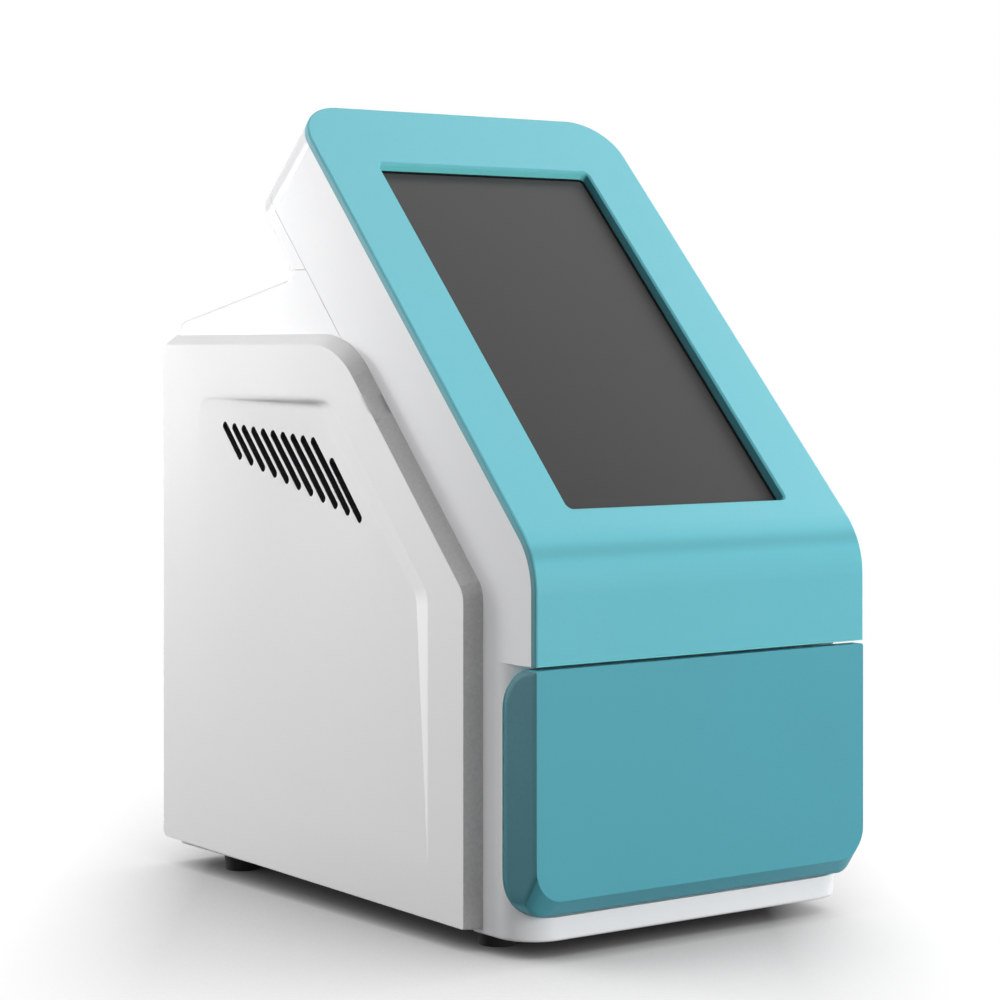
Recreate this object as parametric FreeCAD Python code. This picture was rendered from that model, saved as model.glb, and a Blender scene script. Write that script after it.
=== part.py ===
import FreeCAD, Part
import math
import os

# Benchtop chemistry analyzer: a white housing with a leaning head, a teal
# fascia with a portrait touch screen, a motor driven drawer behind the teal
# lower front and raised side panels with slanted vents.
#
# Millimetres, +Z up, the front faces -Y. The outlines are written with y
# counted from the front plane of the fascia and are moved at the end so that
# the origin is the middle of the footprint, on the bench.

V = FreeCAD.Vector
os.makedirs("parts", exist_ok=True)

# Overall sizes
body_half = 99.8
body_back = 323.5
base_z = 10.6
wall = 3.0
overrun = 20.0
seat_gap = 0.3
least_edge = 0.000001
skin_proud = 0.2

# Face line of the front: vertical, then leaning back
slope_angle = 46.7
slope_start_z = 183.0
slope_length = 298.0
bend_radius = 40.0
head_corner = 26.0
gap_line_z = 134.2
fascia_thick = 4.0
seam_depth = 48.6
seam_gap = 0.3
head_depth = 56.5

# Screen opening in the leaning fascia
screen_width = 133.6
screen_height = 229.2
screen_start = 28.2
screen_recess = 6.0
screen_corner = 3.0
screen_chamfer = 0.9
rim_wall = 2.6
glass_thick = 2.0
glass_overlap = 4.0
display_thick = 7.0
bracket_thick = 1.5
fascia_edge_round = 1.0

# Deck and neck behind the head
deck_start_y = 214.0
deck_start_z = 311.0
deck_end_z = 290.0
neck_radius = 7.2
seam_z = 316.0
deck_edge_round = 3.0
back_corner = 8.0

# Teal drawer front
door_top_z = 132.7
door_bottom_z = 28.4
door_lip_z = 20.4
door_lip_y = 8.0
door_depth = 25.0
door_corner = 15.0
door_lip_corner = 10.0
door_top_corner = 1.2
door_rear_top = 20.0
door_rear_bottom = 18.0
door_wall = 3.0
door_gap = 1.2
door_travel = 120.0

# White foot of the front housing under the drawer front
lip_front_y = 9.2
lip_z = 8.4
lip_corner = 20.0
lip_edge_round = 1.5

# Raised side panels
panel_thick = 7.4
panel_bevel = 5.1
panel_front_y = 46.0
panel_kink_z = 164.6
panel_top_z = 278.6
panel_rear_z = 14.6
panel_kink_radius = 12.0
panel_top_radius = 50.0
panel_rear_radius = 2.0
panel_lower_radius = 1.0
panel_tail_radius = 4.0

# Recess in the side panel, deep at its leaning wall, flush at its foot and its rear
recess_depth = 4.2
recess_floor_depth = 3.8
recess_front_y = 74.6
recess_rear_inset = 37.5
recess_top_z = 250.5
recess_bottom_z = 28.0
recess_flush_z = 36.0
recess_slope_inset = 22.4
recess_front_run = 22.0
recess_slope_run = 18.0
recess_top_run = 1.5
recess_rear_run = 2.0
recess_corner = 12.0
recess_inner_corner = 8.0
recess_floor_shares = (
    (-0.15, -0.1), (0.0, 0.0), (0.15, 0.14), (0.3, 0.38), (0.45, 0.68), (0.6, 0.9), (0.8, 0.99), (1.1, 1.0),
)

# Slanted vent slots in the recess
slot_count = 10
slot_width = 4.2
slot_pitch = 9.04
slot_top_inset = 62.5
slot_top_z = 238.0
slot_top_fall = 0.67
slot_first_length = 25.1
slot_length_step = 2.75
slot_last_inset = 160.7
slot_last_z = 222.3
slot_last_length = 40.7
window_margin = 4.0
filter_lap = 9.0
filter_thick = 3.0

# Chassis pan, feet and screws
pan_thick = 1.6
pan_rim = 6.0
foot_radius = 10.0
foot_pad_radius = 9.0
foot_x = 81.5
foot_front_y = 54.0
foot_rear_inset = 39.5
foot_recess_radius = 4.0
foot_recess_depth = 5.0
screw_head_radius = 2.8
screw_head_height = 1.8
screw_radius = 1.4
screw_length = 3.5

# Drawer tray and reader disc drive
tray_half = 72.0
tray_z = 52.0
tray_thick = 4.0
tray_rear_y = 165.0
tray_corner = 10.0
tray_rim_height = 9.0
tray_rim_wall = 3.0
tray_flange_z = 110.0
tray_flange_thick = 3.0
well_radius = 60.0
well_wall = 2.5
well_height = 12.0
disc_y = 92.0
disc_radius = 56.0
disc_thick = 5.0
disc_rise = 3.0
disc_groove = 1.5
hub_radius = 13.0
hub_height = 7.0
hub_pin_radius = 2.0
hub_pin_circle = 8.5
hub_pin_height = 3.0
hub_pin_count = 3
disc_window_circle = 46.0
disc_window_radius = 3.6
disc_window_count = 12
shaft_radius = 3.0
shaft_clearance = 0.05
spindle_radius = 18.0
spindle_height = 17.0
spindle_flange = 22.0
spindle_flange_thick = 2.0
spindle_bore_depth = 6.0

# Telescopic runners
rail_inner_x = 75.0
rail_step = 4.0
rail_clearance = 0.4
rail_length = 150.0
rail_y = 30.5
rail_z = 56.0
rail_height = 24.0
rail_sheet = 1.4
hanger_thick = 1.5
hanger_foot = 5.0
lightening_shares = (0.3, 0.5, 0.7, 0.9)
tray_wing_thick = 2.6

# Rack and pinion
gear_module = 1.25
pinion_teeth = 16
gear_width = 7.0
rack_x = 44.0
rack_start_y = 28.0
rack_tooth_count = 36
rack_back_height = 4.5
tooth_backlash = 0.35
tip_clearance = 0.45
pinion_y = 43.5
pinion_bore = 2.0
motor_radius = 11.0
motor_length = 30.0
gearbox_length = 9.0
motor_plate_thick = 2.0
motor_plate_half = 15.0
motor_shaft_clearance = 0.05
flank_shares = (0.0, 0.25, 0.5, 0.75, 1.0)

# Photometer over the disc
bridge_half = 92.0
bridge_thick = 1.6
bridge_z = 124.0
bridge_front_y = 100.0
bridge_rear_y = 172.0
bridge_foot = 12.0
optics_half = 30.0
optics_front_y = 108.0
optics_rear_y = 160.0
optics_bottom_z = 84.0
optics_corner = 4.0
optics_bore = 5.0
lamp_radius = 11.0
lamp_height = 20.0
lamp_fin_radius = 15.0
lamp_fin_thick = 1.6
lamp_fin_count = 2
lamp_y = 138.0

# Boards and power supply
board_x0 = -8.0
board_x1 = 90.0
board_y0 = 205.0
board_thick = 1.6
board_clearance = 0.8
standoff_radius = 3.0
standoff_inset = 6.0
chip_half = 9.0
chip_height = 2.2
chip_y = 240.0
chip_x = 45.0
psu_x0 = -90.0
psu_x1 = -20.0
psu_length = 70.0
psu_back_gap = 46.5
psu_height = 34.0
psu_slot_count = 6
psu_slot_width = 2.5
psu_slot_pitch = 9.0
psu_slot_depth = 1.2
psu_slot_margin = 12.0

# Rear panel with inlet, switch, ports and fan
rear_panel_half = 84.0
rear_panel_rise = 0.4
rear_panel_high_z = 200.0
rear_panel_thick = 1.6
rear_panel_inset = 2.0
rear_panel_corner = 5.0
rear_panel_lap = 8.0
inlet_x = -58.0
inlet_z = 42.0
inlet_half_width = 13.8
inlet_half_height = 10.0
inlet_wall = 1.8
inlet_depth = 16.0
inlet_chamfer = 5.5
inlet_flange_x = 24.5
inlet_flange_z = 13.5
inlet_flange_thick = 2.0
inlet_flange_corner = 5.0
inlet_pin_width = 2.0
inlet_pin_height = 4.0
inlet_pin_length = 11.0
inlet_pin_spread = 7.0
inlet_pin_drop = 2.0
switch_x = -58.0
switch_z = 78.0
switch_half_width = 10.5
switch_half_height = 7.5
switch_wall = 1.6
switch_depth = 15.0
switch_flange = 2.2
switch_flange_thick = 1.8
rocker_gap = 0.4
rocker_radius = 15.0
rocker_tilt = 11.0
rocker_pivot_depth = 6.0
rocker_axle_radius = 1.5
rocker_crown = 0.4
rocker_heel = 5.0
usb_x = 20.0
usb_pitch = 19.0
usb_half_width = 7.2
usb_height = 7.4
usb_depth = 16.0
usb_wall = 0.9
lan_x = 66.0
lan_half_width = 8.0
lan_height = 13.4
lan_depth = 18.0
lan_wall = 1.6
port_clearance = 0.4
port_proud = 0.6
fan_x = 30.0
fan_z = 140.0
fan_half = 30.0
fan_thick = 15.0
fan_corner = 4.0
fan_bore = 28.0
fan_hub = 11.0
fan_blade_count = 7
fan_blade_tip_gap = 1.0
fan_blade_pitch = 34.0
fan_blade_thick = 1.3
fan_spoke_width = 3.0
fan_spoke_thick = 2.0
fan_screw_offset = 25.0
fan_axle_radius = 1.5
fan_float = 0.6
guard_wire = 1.3
guard_ring_count = 3
guard_ring_step = 9.0
guard_first_radius = 6.0

# Derived sizes
lean = math.radians(slope_angle)
lean_cos = math.cos(lean)
lean_sin = math.sin(lean)
inner_half = body_half - wall
pan_z = base_z + pan_thick
gear_pitch_radius = gear_module * pinion_teeth / 2
rack_pitch_z = tray_z - rack_back_height - gear_module
pinion_z = rack_pitch_z - gear_pitch_radius
panel_outer = body_half + panel_thick
rail_middle_x = rail_inner_x + rail_step
rail_outer_x = rail_middle_x + rail_step
rear_face_y = body_back - rear_panel_inset
rear_panel_low_z = base_z + pan_rim + wall + rear_panel_rise
board_rise = rear_panel_low_z + rear_panel_lap + board_clearance - board_thick - pan_z
foot_rear_y = body_back - foot_rear_inset
recess_rear_y = body_back - recess_rear_inset
slot_top_y = body_back - slot_top_inset
slot_last_y = body_back - slot_last_inset
psu_y1 = rear_face_y - psu_back_gap
psu_y0 = psu_y1 - psu_length
depth_middle = (rear_face_y + rear_panel_thick + inlet_flange_thick) / 2


# Places a point of a flat outline in space
def on_side(x):
    return lambda y, z: V(x, y, z)


def on_plan(z):
    return lambda x, y: V(x, y, z)


def on_front(y):
    return lambda x, z: V(x, y, z)


def on_slope(depth):
    return lambda u, v: V(u, v * lean_cos + depth * lean_sin, slope_start_z + v * lean_sin - depth * lean_cos)


slope_normal = V(0, lean_sin, -lean_cos)


# Point of the side view at a distance along the leaning face and behind it
def slope_point(v, depth):
    return (v * lean_cos + depth * lean_sin, slope_start_z + v * lean_sin - depth * lean_cos)


# Point of the side view where the upright and leaning lines of one depth meet
def kink_point(depth):
    return (depth, slope_start_z - depth * (1 - lean_sin) / lean_cos)


# Closed wire through the points, with the corners rounded
def rounded_wire(points, radii, place):
    count = len(points)
    edges = []
    ends = []
    for i in range(count):
        here = place(*points[i])
        before = place(*points[i - 1])
        after = place(*points[(i + 1) % count])
        radius = radii[i]
        if radius <= 0:
            ends.append((here, here, None))
            continue
        back = (before - here).normalize()
        ahead = (after - here).normalize()
        half_turn = back.getAngle(ahead) / 2
        reach = radius / math.tan(half_turn)
        start = here + back * reach
        stop = here + ahead * reach
        bisector = (back + ahead).normalize()
        middle = here + bisector * (radius / math.sin(half_turn) - radius)
        ends.append((start, stop, middle))
    for i in range(count):
        start, stop, middle = ends[i]
        if middle is not None:
            edges.append(Part.Arc(start, middle, stop).toShape())
        following = ends[(i + 1) % count][0]
        if stop.distanceToPoint(following) > least_edge:
            edges.append(Part.LineSegment(stop, following).toShape())
    return Part.Wire(edges)


def even(radius, points):
    return [radius] * len(points)


# Solid swept from an outline along a straight way
def prism(points, radii, place, way):
    return Part.Face(rounded_wire(points, radii, place)).extrude(way)


# Solid between two outlines of the same kind
def frustum(points_a, radii_a, place_a, points_b, radii_b, place_b):
    wire_a = rounded_wire(points_a, radii_a, place_a)
    wire_b = rounded_wire(points_b, radii_b, place_b)
    return Part.makeLoft([wire_a, wire_b], True, True)


def block(x0, x1, y0, y1, z0, z1):
    return Part.makeBox(x1 - x0, y1 - y0, z1 - z0, V(x0, y0, z0))


def rod(radius, length, base, way):
    return Part.makeCylinder(radius, length, base, way)


def rect(half_a, low_b, high_b):
    return [(-half_a, low_b), (half_a, low_b), (half_a, high_b), (-half_a, high_b)]


def oblong(a0, a1, b0, b1):
    return [(a0, b0), (a1, b0), (a1, b1), (a0, b1)]


def mirrored(shape):
    return shape.mirror(V(0, 0, 0), V(1, 0, 0))


# Rounds the edges whose middle passes a test
def soften(shape, radius, test):
    edges = []
    for edge in shape.Edges:
        middle = edge.valueAt((edge.FirstParameter + edge.LastParameter) / 2)
        if test(edge, middle):
            edges.append(edge)
    return shape.makeFillet(radius, edges)


# Outline of the head seen square to the screen, with its two upper corners
# rounded, and plain behind the given depth
def head_outline(half, top, corner, depth):
    low = -slope_length
    points = rect(half, low, top)
    head = prism(points, [0, 0, corner, corner], on_slope(-overrun), slope_normal * (depth + overrun))
    tall = rect(half, low, top + slope_length)
    body = prism(tall, even(0, tall), on_slope(depth), slope_normal * (body_back + slope_length))
    return head.fuse(body)


# Side profile of the bent face between two depths
def bent_profile(near, far, foot_z, top):
    return [
        (near, foot_z),
        kink_point(near),
        slope_point(top, near),
        slope_point(top, far),
        kink_point(far),
        (far, foot_z),
    ]


def make_fascia():
    half = body_half + skin_proud
    points = bent_profile(0, fascia_thick, gap_line_z, slope_length)
    radii = [0, bend_radius, 0, 0, bend_radius - fascia_thick, 0]
    sheet = prism(points, radii, on_side(-half), V(2 * half, 0, 0))
    sheet = sheet.common(head_outline(half, slope_length, head_corner, seam_depth))
    rim_half = screen_width / 2 + rim_wall
    rim_points = rect(rim_half, screen_start - rim_wall, screen_start + screen_height + rim_wall)
    rim_way = slope_normal * (screen_recess - fascia_thick)
    rim = prism(rim_points, even(screen_corner + rim_wall, rim_points), on_slope(fascia_thick), rim_way)
    opening = rect(screen_width / 2, screen_start, screen_start + screen_height)
    corners = even(screen_corner, opening)
    through = prism(opening, corners, on_slope(-overrun), slope_normal * (2 * overrun))
    wide = rect(
        screen_width / 2 + screen_chamfer,
        screen_start - screen_chamfer,
        screen_start + screen_height + screen_chamfer,
    )
    bevel = frustum(
        wide, even(screen_corner + screen_chamfer, wide), on_slope(0),
        opening, corners, on_slope(screen_chamfer),
    )
    sheet = soften(sheet, fascia_edge_round, front_edge_of_fascia)
    return sheet.fuse(rim).cut(through).cut(bevel).removeSplitter()


# True for the outer edges of the fascia's front surface
def front_edge_of_fascia(edge, middle):
    depth = middle.y * lean_sin - (middle.z - slope_start_z) * lean_cos
    on_leaning = abs(depth) < seat_gap and middle.z > slope_start_z
    on_upright = abs(middle.y) < seat_gap
    in_bend = abs(abs(middle.x) - body_half - skin_proud) < seat_gap and middle.y < fascia_thick
    at_foot = abs(middle.z - gap_line_z) < seat_gap and middle.y < seat_gap
    if abs(middle.x) < seat_gap:
        at_top = depth < seat_gap and middle.z > slope_start_z + slope_length * lean_sin - overrun
        return at_top or at_foot
    return on_leaning or on_upright or (in_bend and depth < seat_gap)


# Outer form of the teal drawer front, grown by a clearance
def door_form(grow):
    half = body_half + grow
    top = door_top_z + grow
    front = rect(half, door_bottom_z - grow, top)
    lip = rect(half, door_lip_z - grow, top)
    front_radii = [door_corner, door_corner, door_top_corner, door_top_corner]
    lip_radii = [door_lip_corner, door_lip_corner, door_top_corner, door_top_corner]
    nose = frustum(front, front_radii, on_front(0), lip, lip_radii, on_front(door_lip_y))
    skirt = prism(lip, lip_radii, on_front(door_lip_y), V(0, door_depth - door_lip_y + grow, 0))
    whole = nose.fuse(skirt)
    side = [
        (-overrun, door_lip_z - grow),
        (door_depth + grow, door_lip_z - grow),
        (door_depth + grow, top),
        (-overrun, top),
    ]
    side_radii = [0, door_rear_bottom + grow, door_rear_top + grow, 0]
    return whole.common(prism(side, side_radii, on_side(-half - overrun), V(2 * (half + overrun), 0, 0)))


def make_drawer_front():
    shell = door_form(0)
    half = body_half - door_wall
    cavity = rect(half, door_bottom_z + door_wall, door_top_z - door_wall)
    low_radius = door_lip_corner - door_wall
    cavity_radii = [low_radius, low_radius, door_top_corner, door_top_corner]
    shell = shell.cut(prism(cavity, cavity_radii, on_front(door_wall), V(0, door_depth, 0)))
    boss_z = (tray_z + tray_flange_z) / 2
    for x in (-tray_half + tray_corner, tray_half - tray_corner):
        for z in (tray_z + tray_corner, tray_flange_z - tray_corner):
            shell = shell.fuse(rod(foot_recess_radius, door_wall, V(x, door_wall, z), V(0, 1, 0)))
    rib = block(-tray_half, tray_half, door_wall, 2 * door_wall, boss_z, boss_z + pan_thick)
    return shell.fuse(rib).removeSplitter()


def make_front_housing():
    points = [
        (fascia_thick, gap_line_z),
        kink_point(fascia_thick),
        slope_point(slope_length, fascia_thick),
        slope_point(slope_length, seam_depth),
        kink_point(seam_depth),
        (seam_depth, lip_z),
        (lip_front_y, lip_z),
        (lip_front_y, gap_line_z),
    ]
    radii = [0, bend_radius - fascia_thick, 0, 0, 0, 0, 0, 0]
    outer = prism(points, radii, on_side(-body_half), V(2 * body_half, 0, 0))
    outer = outer.common(head_outline(body_half, slope_length, head_corner, seam_depth + overrun))
    outer = soften(outer, lip_corner, is_lip_corner)
    outer = soften(outer, lip_edge_round, is_lip_foot)
    front_wall_y = door_depth + door_gap + wall
    shelf_z = gap_line_z + wall
    hollow = [
        (screen_recess, shelf_z),
        kink_point(screen_recess),
        slope_point(slope_length - wall, screen_recess),
        slope_point(slope_length - wall, seam_depth + overrun),
        kink_point(seam_depth + overrun),
        (seam_depth + overrun, base_z - overrun),
        (front_wall_y, base_z - overrun),
        (front_wall_y, shelf_z),
    ]
    hollow_radii = [0, bend_radius - screen_recess, 0, 0, 0, 0, 0, 0]
    cavity = prism(hollow, hollow_radii, on_side(-inner_half), V(2 * inner_half, 0, 0))
    inner_top = slope_length - wall
    cavity = cavity.common(head_outline(inner_half, inner_top, head_corner - wall, seam_depth + 2 * overrun))
    housing = outer.cut(cavity).cut(door_form(door_gap))
    rim_half = screen_width / 2 + rim_wall + seat_gap
    rim_low = screen_start - rim_wall - seat_gap
    rim_high = screen_start + screen_height + rim_wall + seat_gap
    rim = rect(rim_half, rim_low, rim_high)
    rim_radius = screen_corner + rim_wall + seat_gap
    housing = housing.cut(prism(rim, even(rim_radius, rim), on_slope(-overrun), slope_normal * (2 * overrun)))
    bay = rect(rail_outer_x, door_bottom_z + wall, bridge_z)
    bay_way = V(0, front_wall_y + wall, 0)
    housing = housing.cut(prism(bay, even(wall, bay), on_front(lip_front_y), bay_way))
    for boss in display_boss_points():
        base = on_slope(screen_recess)(*boss)
        housing = housing.fuse(rod(standoff_radius + board_thick, display_stack(), base, slope_normal))
    return housing.removeSplitter()


def is_lip_corner(edge, middle):
    upright = abs(edge.tangentAt(edge.FirstParameter).z) > lean_sin
    return upright and abs(middle.y - lip_front_y) < seat_gap and abs(middle.x) > inner_half


def is_lip_foot(edge, middle):
    return abs(middle.z - lip_z) < seat_gap and middle.y < seam_depth - seat_gap


def display_stack():
    return glass_thick + display_thick


def display_boss_points():
    half = screen_width / 2 + rim_wall + glass_overlap + standoff_radius + board_thick + seat_gap
    inset = screen_height / 4
    places = []
    for x in (-half, half):
        for v in (screen_start + inset, screen_start + screen_height - inset):
            places.append((x, v))
    return places


def make_screen_glass():
    half = screen_width / 2 + rim_wall + glass_overlap
    low = screen_start - rim_wall - glass_overlap
    high = screen_start + screen_height + rim_wall + glass_overlap
    points = rect(half, low, high)
    return prism(points, even(screen_corner, points), on_slope(screen_recess), slope_normal * glass_thick)


def make_display_module():
    half = screen_width / 2
    points = rect(half, screen_start, screen_start + screen_height)
    depth = screen_recess + glass_thick
    module = prism(points, even(pan_thick, points), on_slope(depth), slope_normal * display_thick)
    tray = rect(half - rim_wall, screen_start + rim_wall, screen_start + screen_height - rim_wall)
    back = on_slope(depth + display_thick - bracket_thick)
    return module.cut(prism(tray, even(pan_thick, tray), back, slope_normal * overrun))


def make_display_bracket():
    half = screen_width / 2
    depth = screen_recess + display_stack()
    points = rect(half, screen_start, screen_start + screen_height)
    plate = prism(points, even(tray_corner, points), on_slope(depth), slope_normal * bracket_thick)
    ear = standoff_radius + board_thick
    for x, v in display_boss_points():
        ear_points = oblong(min(x, 0) - ear * (x < 0), max(x, 0) + ear * (x > 0), v - ear, v + ear)
        ear_way = slope_normal * bracket_thick
        plate = plate.fuse(prism(ear_points, even(0, ear_points), on_slope(depth), ear_way))
    window_low = screen_start + screen_height / 3
    window = rect(half - window_margin - tray_corner, window_low, window_low + screen_height / 3)
    through = on_slope(depth - overrun)
    plate = plate.cut(prism(window, even(window_margin, window), through, slope_normal * (2 * overrun)))
    for x, v in display_boss_points():
        plate = plate.cut(rod(screw_radius, 2 * overrun, on_slope(depth - overrun)(x, v), slope_normal))
    return plate.removeSplitter()


# Side profile of everything behind the seam
def rear_profile(shrink):
    near = seam_depth + seam_gap - (overrun if shrink else 0)
    deck_fall = (deck_start_z - deck_end_z) / (body_back - deck_start_y)
    back_depth = head_depth - shrink
    top = slope_length - skin_proud - shrink
    lift = shrink * math.sqrt(1 + deck_fall * deck_fall)
    level = deck_start_z + deck_fall * deck_start_y - lift
    neck_y = (back_depth + (level - slope_start_z) * lean_cos) / (lean_sin + deck_fall * lean_cos)
    rear = body_back - shrink
    foot = base_z - (overrun if shrink else 0)
    return [
        (near, foot),
        kink_point(near),
        slope_point(top, near),
        slope_point(top, back_depth),
        (neck_y, level - deck_fall * neck_y),
        (rear, level - deck_fall * rear),
        (rear, foot),
    ]


def rear_solid(shrink):
    half = body_half - shrink
    radii = [0, 0, 0, 0, neck_radius + shrink, 0, 0]
    solid = prism(rear_profile(shrink), radii, on_side(-half), V(2 * half, 0, 0))
    top = slope_length - skin_proud - shrink
    solid = solid.common(head_outline(half, top, head_corner - shrink, head_depth))
    plan = rect(half, -overrun, body_back - shrink)
    corner = back_corner - shrink
    return solid.common(prism(plan, [0, 0, corner, corner], on_plan(-overrun), V(0, 0, 2 * body_back)))


def make_main_cover():
    above = block(-2 * body_half, 2 * body_half, 0, 2 * body_back, seam_z, 2 * body_back)
    shell = soften(rear_solid(0).cut(above), deck_edge_round, is_deck_edge)
    shell = shell.cut(rear_solid(wall))
    lap = rear_panel_lap
    window = rect(rear_panel_half - lap, rear_panel_low_z + lap, rear_panel_high_z - lap)
    window_radii = even(rear_panel_corner, window)
    window_solid = prism(window, window_radii, on_front(body_back - 2 * wall), V(0, overrun, 0))
    seat = rect(rear_panel_half, rear_panel_low_z, rear_panel_high_z)
    seat_y = rear_face_y
    seat_solid = prism(seat, even(rear_panel_corner, seat), on_front(seat_y), V(0, overrun, 0))
    shell = shell.cut(window_solid).cut(seat_solid)
    ledge = rect(rear_panel_half + wall, rear_panel_low_z - wall, rear_panel_high_z + wall)
    ledge_solid = prism(ledge, even(rear_panel_corner, ledge), on_front(seat_y - wall), V(0, wall, 0))
    shell = shell.fuse(ledge_solid.cut(window_solid).cut(seat_solid))
    for cut in vent_window_cuts():
        shell = shell.cut(cut)
    return shell.removeSplitter()


# True for the edges round the sides and the rear of the deck
def is_deck_edge(edge, middle):
    fall = (deck_start_z - deck_end_z) / (body_back - deck_start_y)
    level = deck_start_z - fall * (middle.y - deck_start_y)
    return abs(middle.z - level) < seat_gap and middle.y > deck_start_y


# Four sided outline round all the vent slots, with a margin
def vent_window_outline(margin):
    first_y, first_z, first_length = slot_places()[0]
    last_y, last_z, last_length = slot_places()[-1]
    high_z = first_z + margin
    low_z = last_z - last_length * lean_sin - margin
    rear_low_z = first_z - first_length * lean_sin - margin
    rear_y = first_y + slot_width + margin
    rear_low_y = first_y - first_length * lean_cos + slot_width + margin
    front_y = last_y - last_length * lean_cos - margin
    front_high_y = last_y - margin
    return [
        (rear_y, high_z),
        (rear_low_y, rear_low_z),
        (front_y + margin, low_z),
        (front_y - margin, low_z + margin),
        (front_high_y, high_z),
    ]


def vent_window_cuts():
    points = vent_window_outline(window_margin)
    way = V(body_half + wall, 0, 0)
    cut = prism(points, even(window_margin / 2, points), on_side(-inner_half - body_half), way)
    return [cut, mirrored(cut)]


# Dust filter pad laid over the vent window inside the cover
def make_vent_filter():
    outline = vent_window_outline(filter_lap)
    x0 = -inner_half
    return prism(outline, even(window_margin, outline), on_side(x0), V(filter_thick, 0, 0))


def make_head_back_cover():
    below = block(-2 * body_half, 2 * body_half, -overrun, 2 * body_back, -overrun, seam_z + seam_gap)
    shell = rear_solid(0).cut(below)
    hollow = rear_solid(wall)
    return shell.cut(hollow).removeSplitter()


# Outline of the raised side panel, pulled in by a margin
def panel_outline(inset):
    front = panel_front_y + inset
    fall = (panel_kink_z - inset * (1 - lean_sin) / lean_cos)
    top = panel_top_z - inset
    slope_run = (top - fall) * lean_cos / lean_sin
    return [
        (front, base_z),
        (front, fall),
        (front + slope_run, top),
        (body_back, top),
        (body_back, panel_rear_z),
    ]


def recess_outline(front_run, slope_run, top_run, rear_run):
    front = recess_front_y + front_run
    rear = recess_rear_y - rear_run
    top = recess_top_z - top_run
    inset = recess_slope_inset + slope_run
    edge_y, edge_z = panel_front_y, panel_kink_z
    foot_z = edge_z + ((front - edge_y) * lean_sin - inset) / lean_cos
    head_y = edge_y + ((top - edge_z) * lean_cos + inset) / lean_sin
    return [(front, recess_bottom_z), (front, foot_z), (head_y, top), (rear, top), (rear, recess_bottom_z)]


# Space over the recess floor, which sinks smoothly towards the front and the top
def recess_room():
    top = recess_top_z - recess_top_run
    reach = 2 * top - recess_flush_z
    wires = []
    for way_share, depth_share in recess_floor_shares:
        depth = 2 * depth_share * recess_floor_depth
        section = [
            (-panel_outer, recess_flush_z),
            (-panel_outer + depth, reach),
            (-panel_outer - overrun, reach),
            (-panel_outer - overrun, recess_flush_z),
        ]
        y = recess_rear_y - way_share * (recess_rear_y - recess_front_y)
        wires.append(rounded_wire(section, even(0, section), on_front(y)))
    return Part.makeLoft(wires, True, False)


def make_side_panel():
    outer = panel_outline(0)
    rear_radii = [panel_rear_radius, panel_tail_radius]
    radii = [panel_lower_radius, panel_kink_radius, panel_top_radius] + rear_radii
    base = panel_outline(-panel_bevel)
    base_radii = [radii[0], radii[1], panel_top_radius + panel_bevel, radii[3], radii[4]]
    panel = frustum(base, base_radii, on_side(-body_half), outer, radii, on_side(-panel_outer))
    rim = recess_outline(0, 0, 0, 0)
    rim_radii = [0, recess_corner, recess_corner, recess_corner, 0]
    floor = recess_outline(recess_front_run, recess_slope_run, recess_top_run, recess_rear_run)
    floor_radii = [0, recess_inner_corner, recess_inner_corner, recess_inner_corner, 0]
    recess = frustum(
        rim, rim_radii, on_side(-panel_outer),
        floor, floor_radii, on_side(-panel_outer + recess_depth),
    )
    panel = panel.cut(recess.common(recess_room()))
    for y, z, length in slot_places():
        panel = panel.cut(slot_solid(y, z, length))
    return panel.removeSplitter()


# Upper end and length of each vent slot
def slot_places():
    places = []
    for i in range(slot_count):
        length = slot_first_length + slot_length_step * i
        places.append((slot_top_y - slot_pitch * i, slot_top_z - slot_top_fall * i, length))
    places.append((slot_last_y, slot_last_z, slot_last_length))
    return places


def slot_solid(y, z, length):
    half = slot_width / 2
    side_y = half * lean_sin
    side_z = half * lean_cos
    end_y = y - length * lean_cos
    end_z = z - length * lean_sin
    points = [
        (y + side_y, z - side_z),
        (end_y + side_y, end_z - side_z),
        (end_y - side_y, end_z + side_z),
        (y - side_y, z + side_z),
    ]
    limit = half - seat_gap / 4
    return prism(points, even(limit, points), on_side(-panel_outer - overrun), V(2 * overrun, 0, 0))


def make_chassis_base():
    half = inner_half - seat_gap
    front = door_depth + door_gap + wall + seat_gap
    rear = body_back - wall - seat_gap
    floor_points = oblong(-half, half, front, rear)
    radii = [pan_thick, pan_thick, back_corner - wall, back_corner - wall]
    pan = prism(floor_points, radii, on_plan(base_z), V(0, 0, pan_rim))
    inner = oblong(-half + pan_thick, half - pan_thick, front + pan_thick, rear - pan_thick)
    inner_radii = [0, 0, back_corner - wall - pan_thick, back_corner - wall - pan_thick]
    pan = pan.cut(prism(inner, inner_radii, on_plan(pan_z), V(0, 0, pan_rim)))
    slot = block(-foot_radius, foot_radius, 0, slot_width, base_z - overrun, pan_z + overrun)
    for i in range(slot_count):
        y = psu_y0 + slot_pitch * i / 2 + foot_radius
        moved = slot.copy()
        moved.Placement.Base = V((psu_x0 + psu_x1) / 2, y, 0)
        pan = pan.cut(moved) if i % 2 == 0 else pan
    return pan


def make_foot(x, y):
    up = V(0, 0, 1)
    body = Part.makeCone(foot_pad_radius, foot_radius, base_z, V(x, y, 0), up)
    return body.cut(rod(foot_recess_radius, foot_recess_depth, V(x, y, 0), up))


# Screw with a low round head, head up along its way
def make_screw(base, way, length):
    head = rod(screw_head_radius, screw_head_height, base, way)
    return head.fuse(rod(screw_radius, length, base, way * -1))


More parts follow.
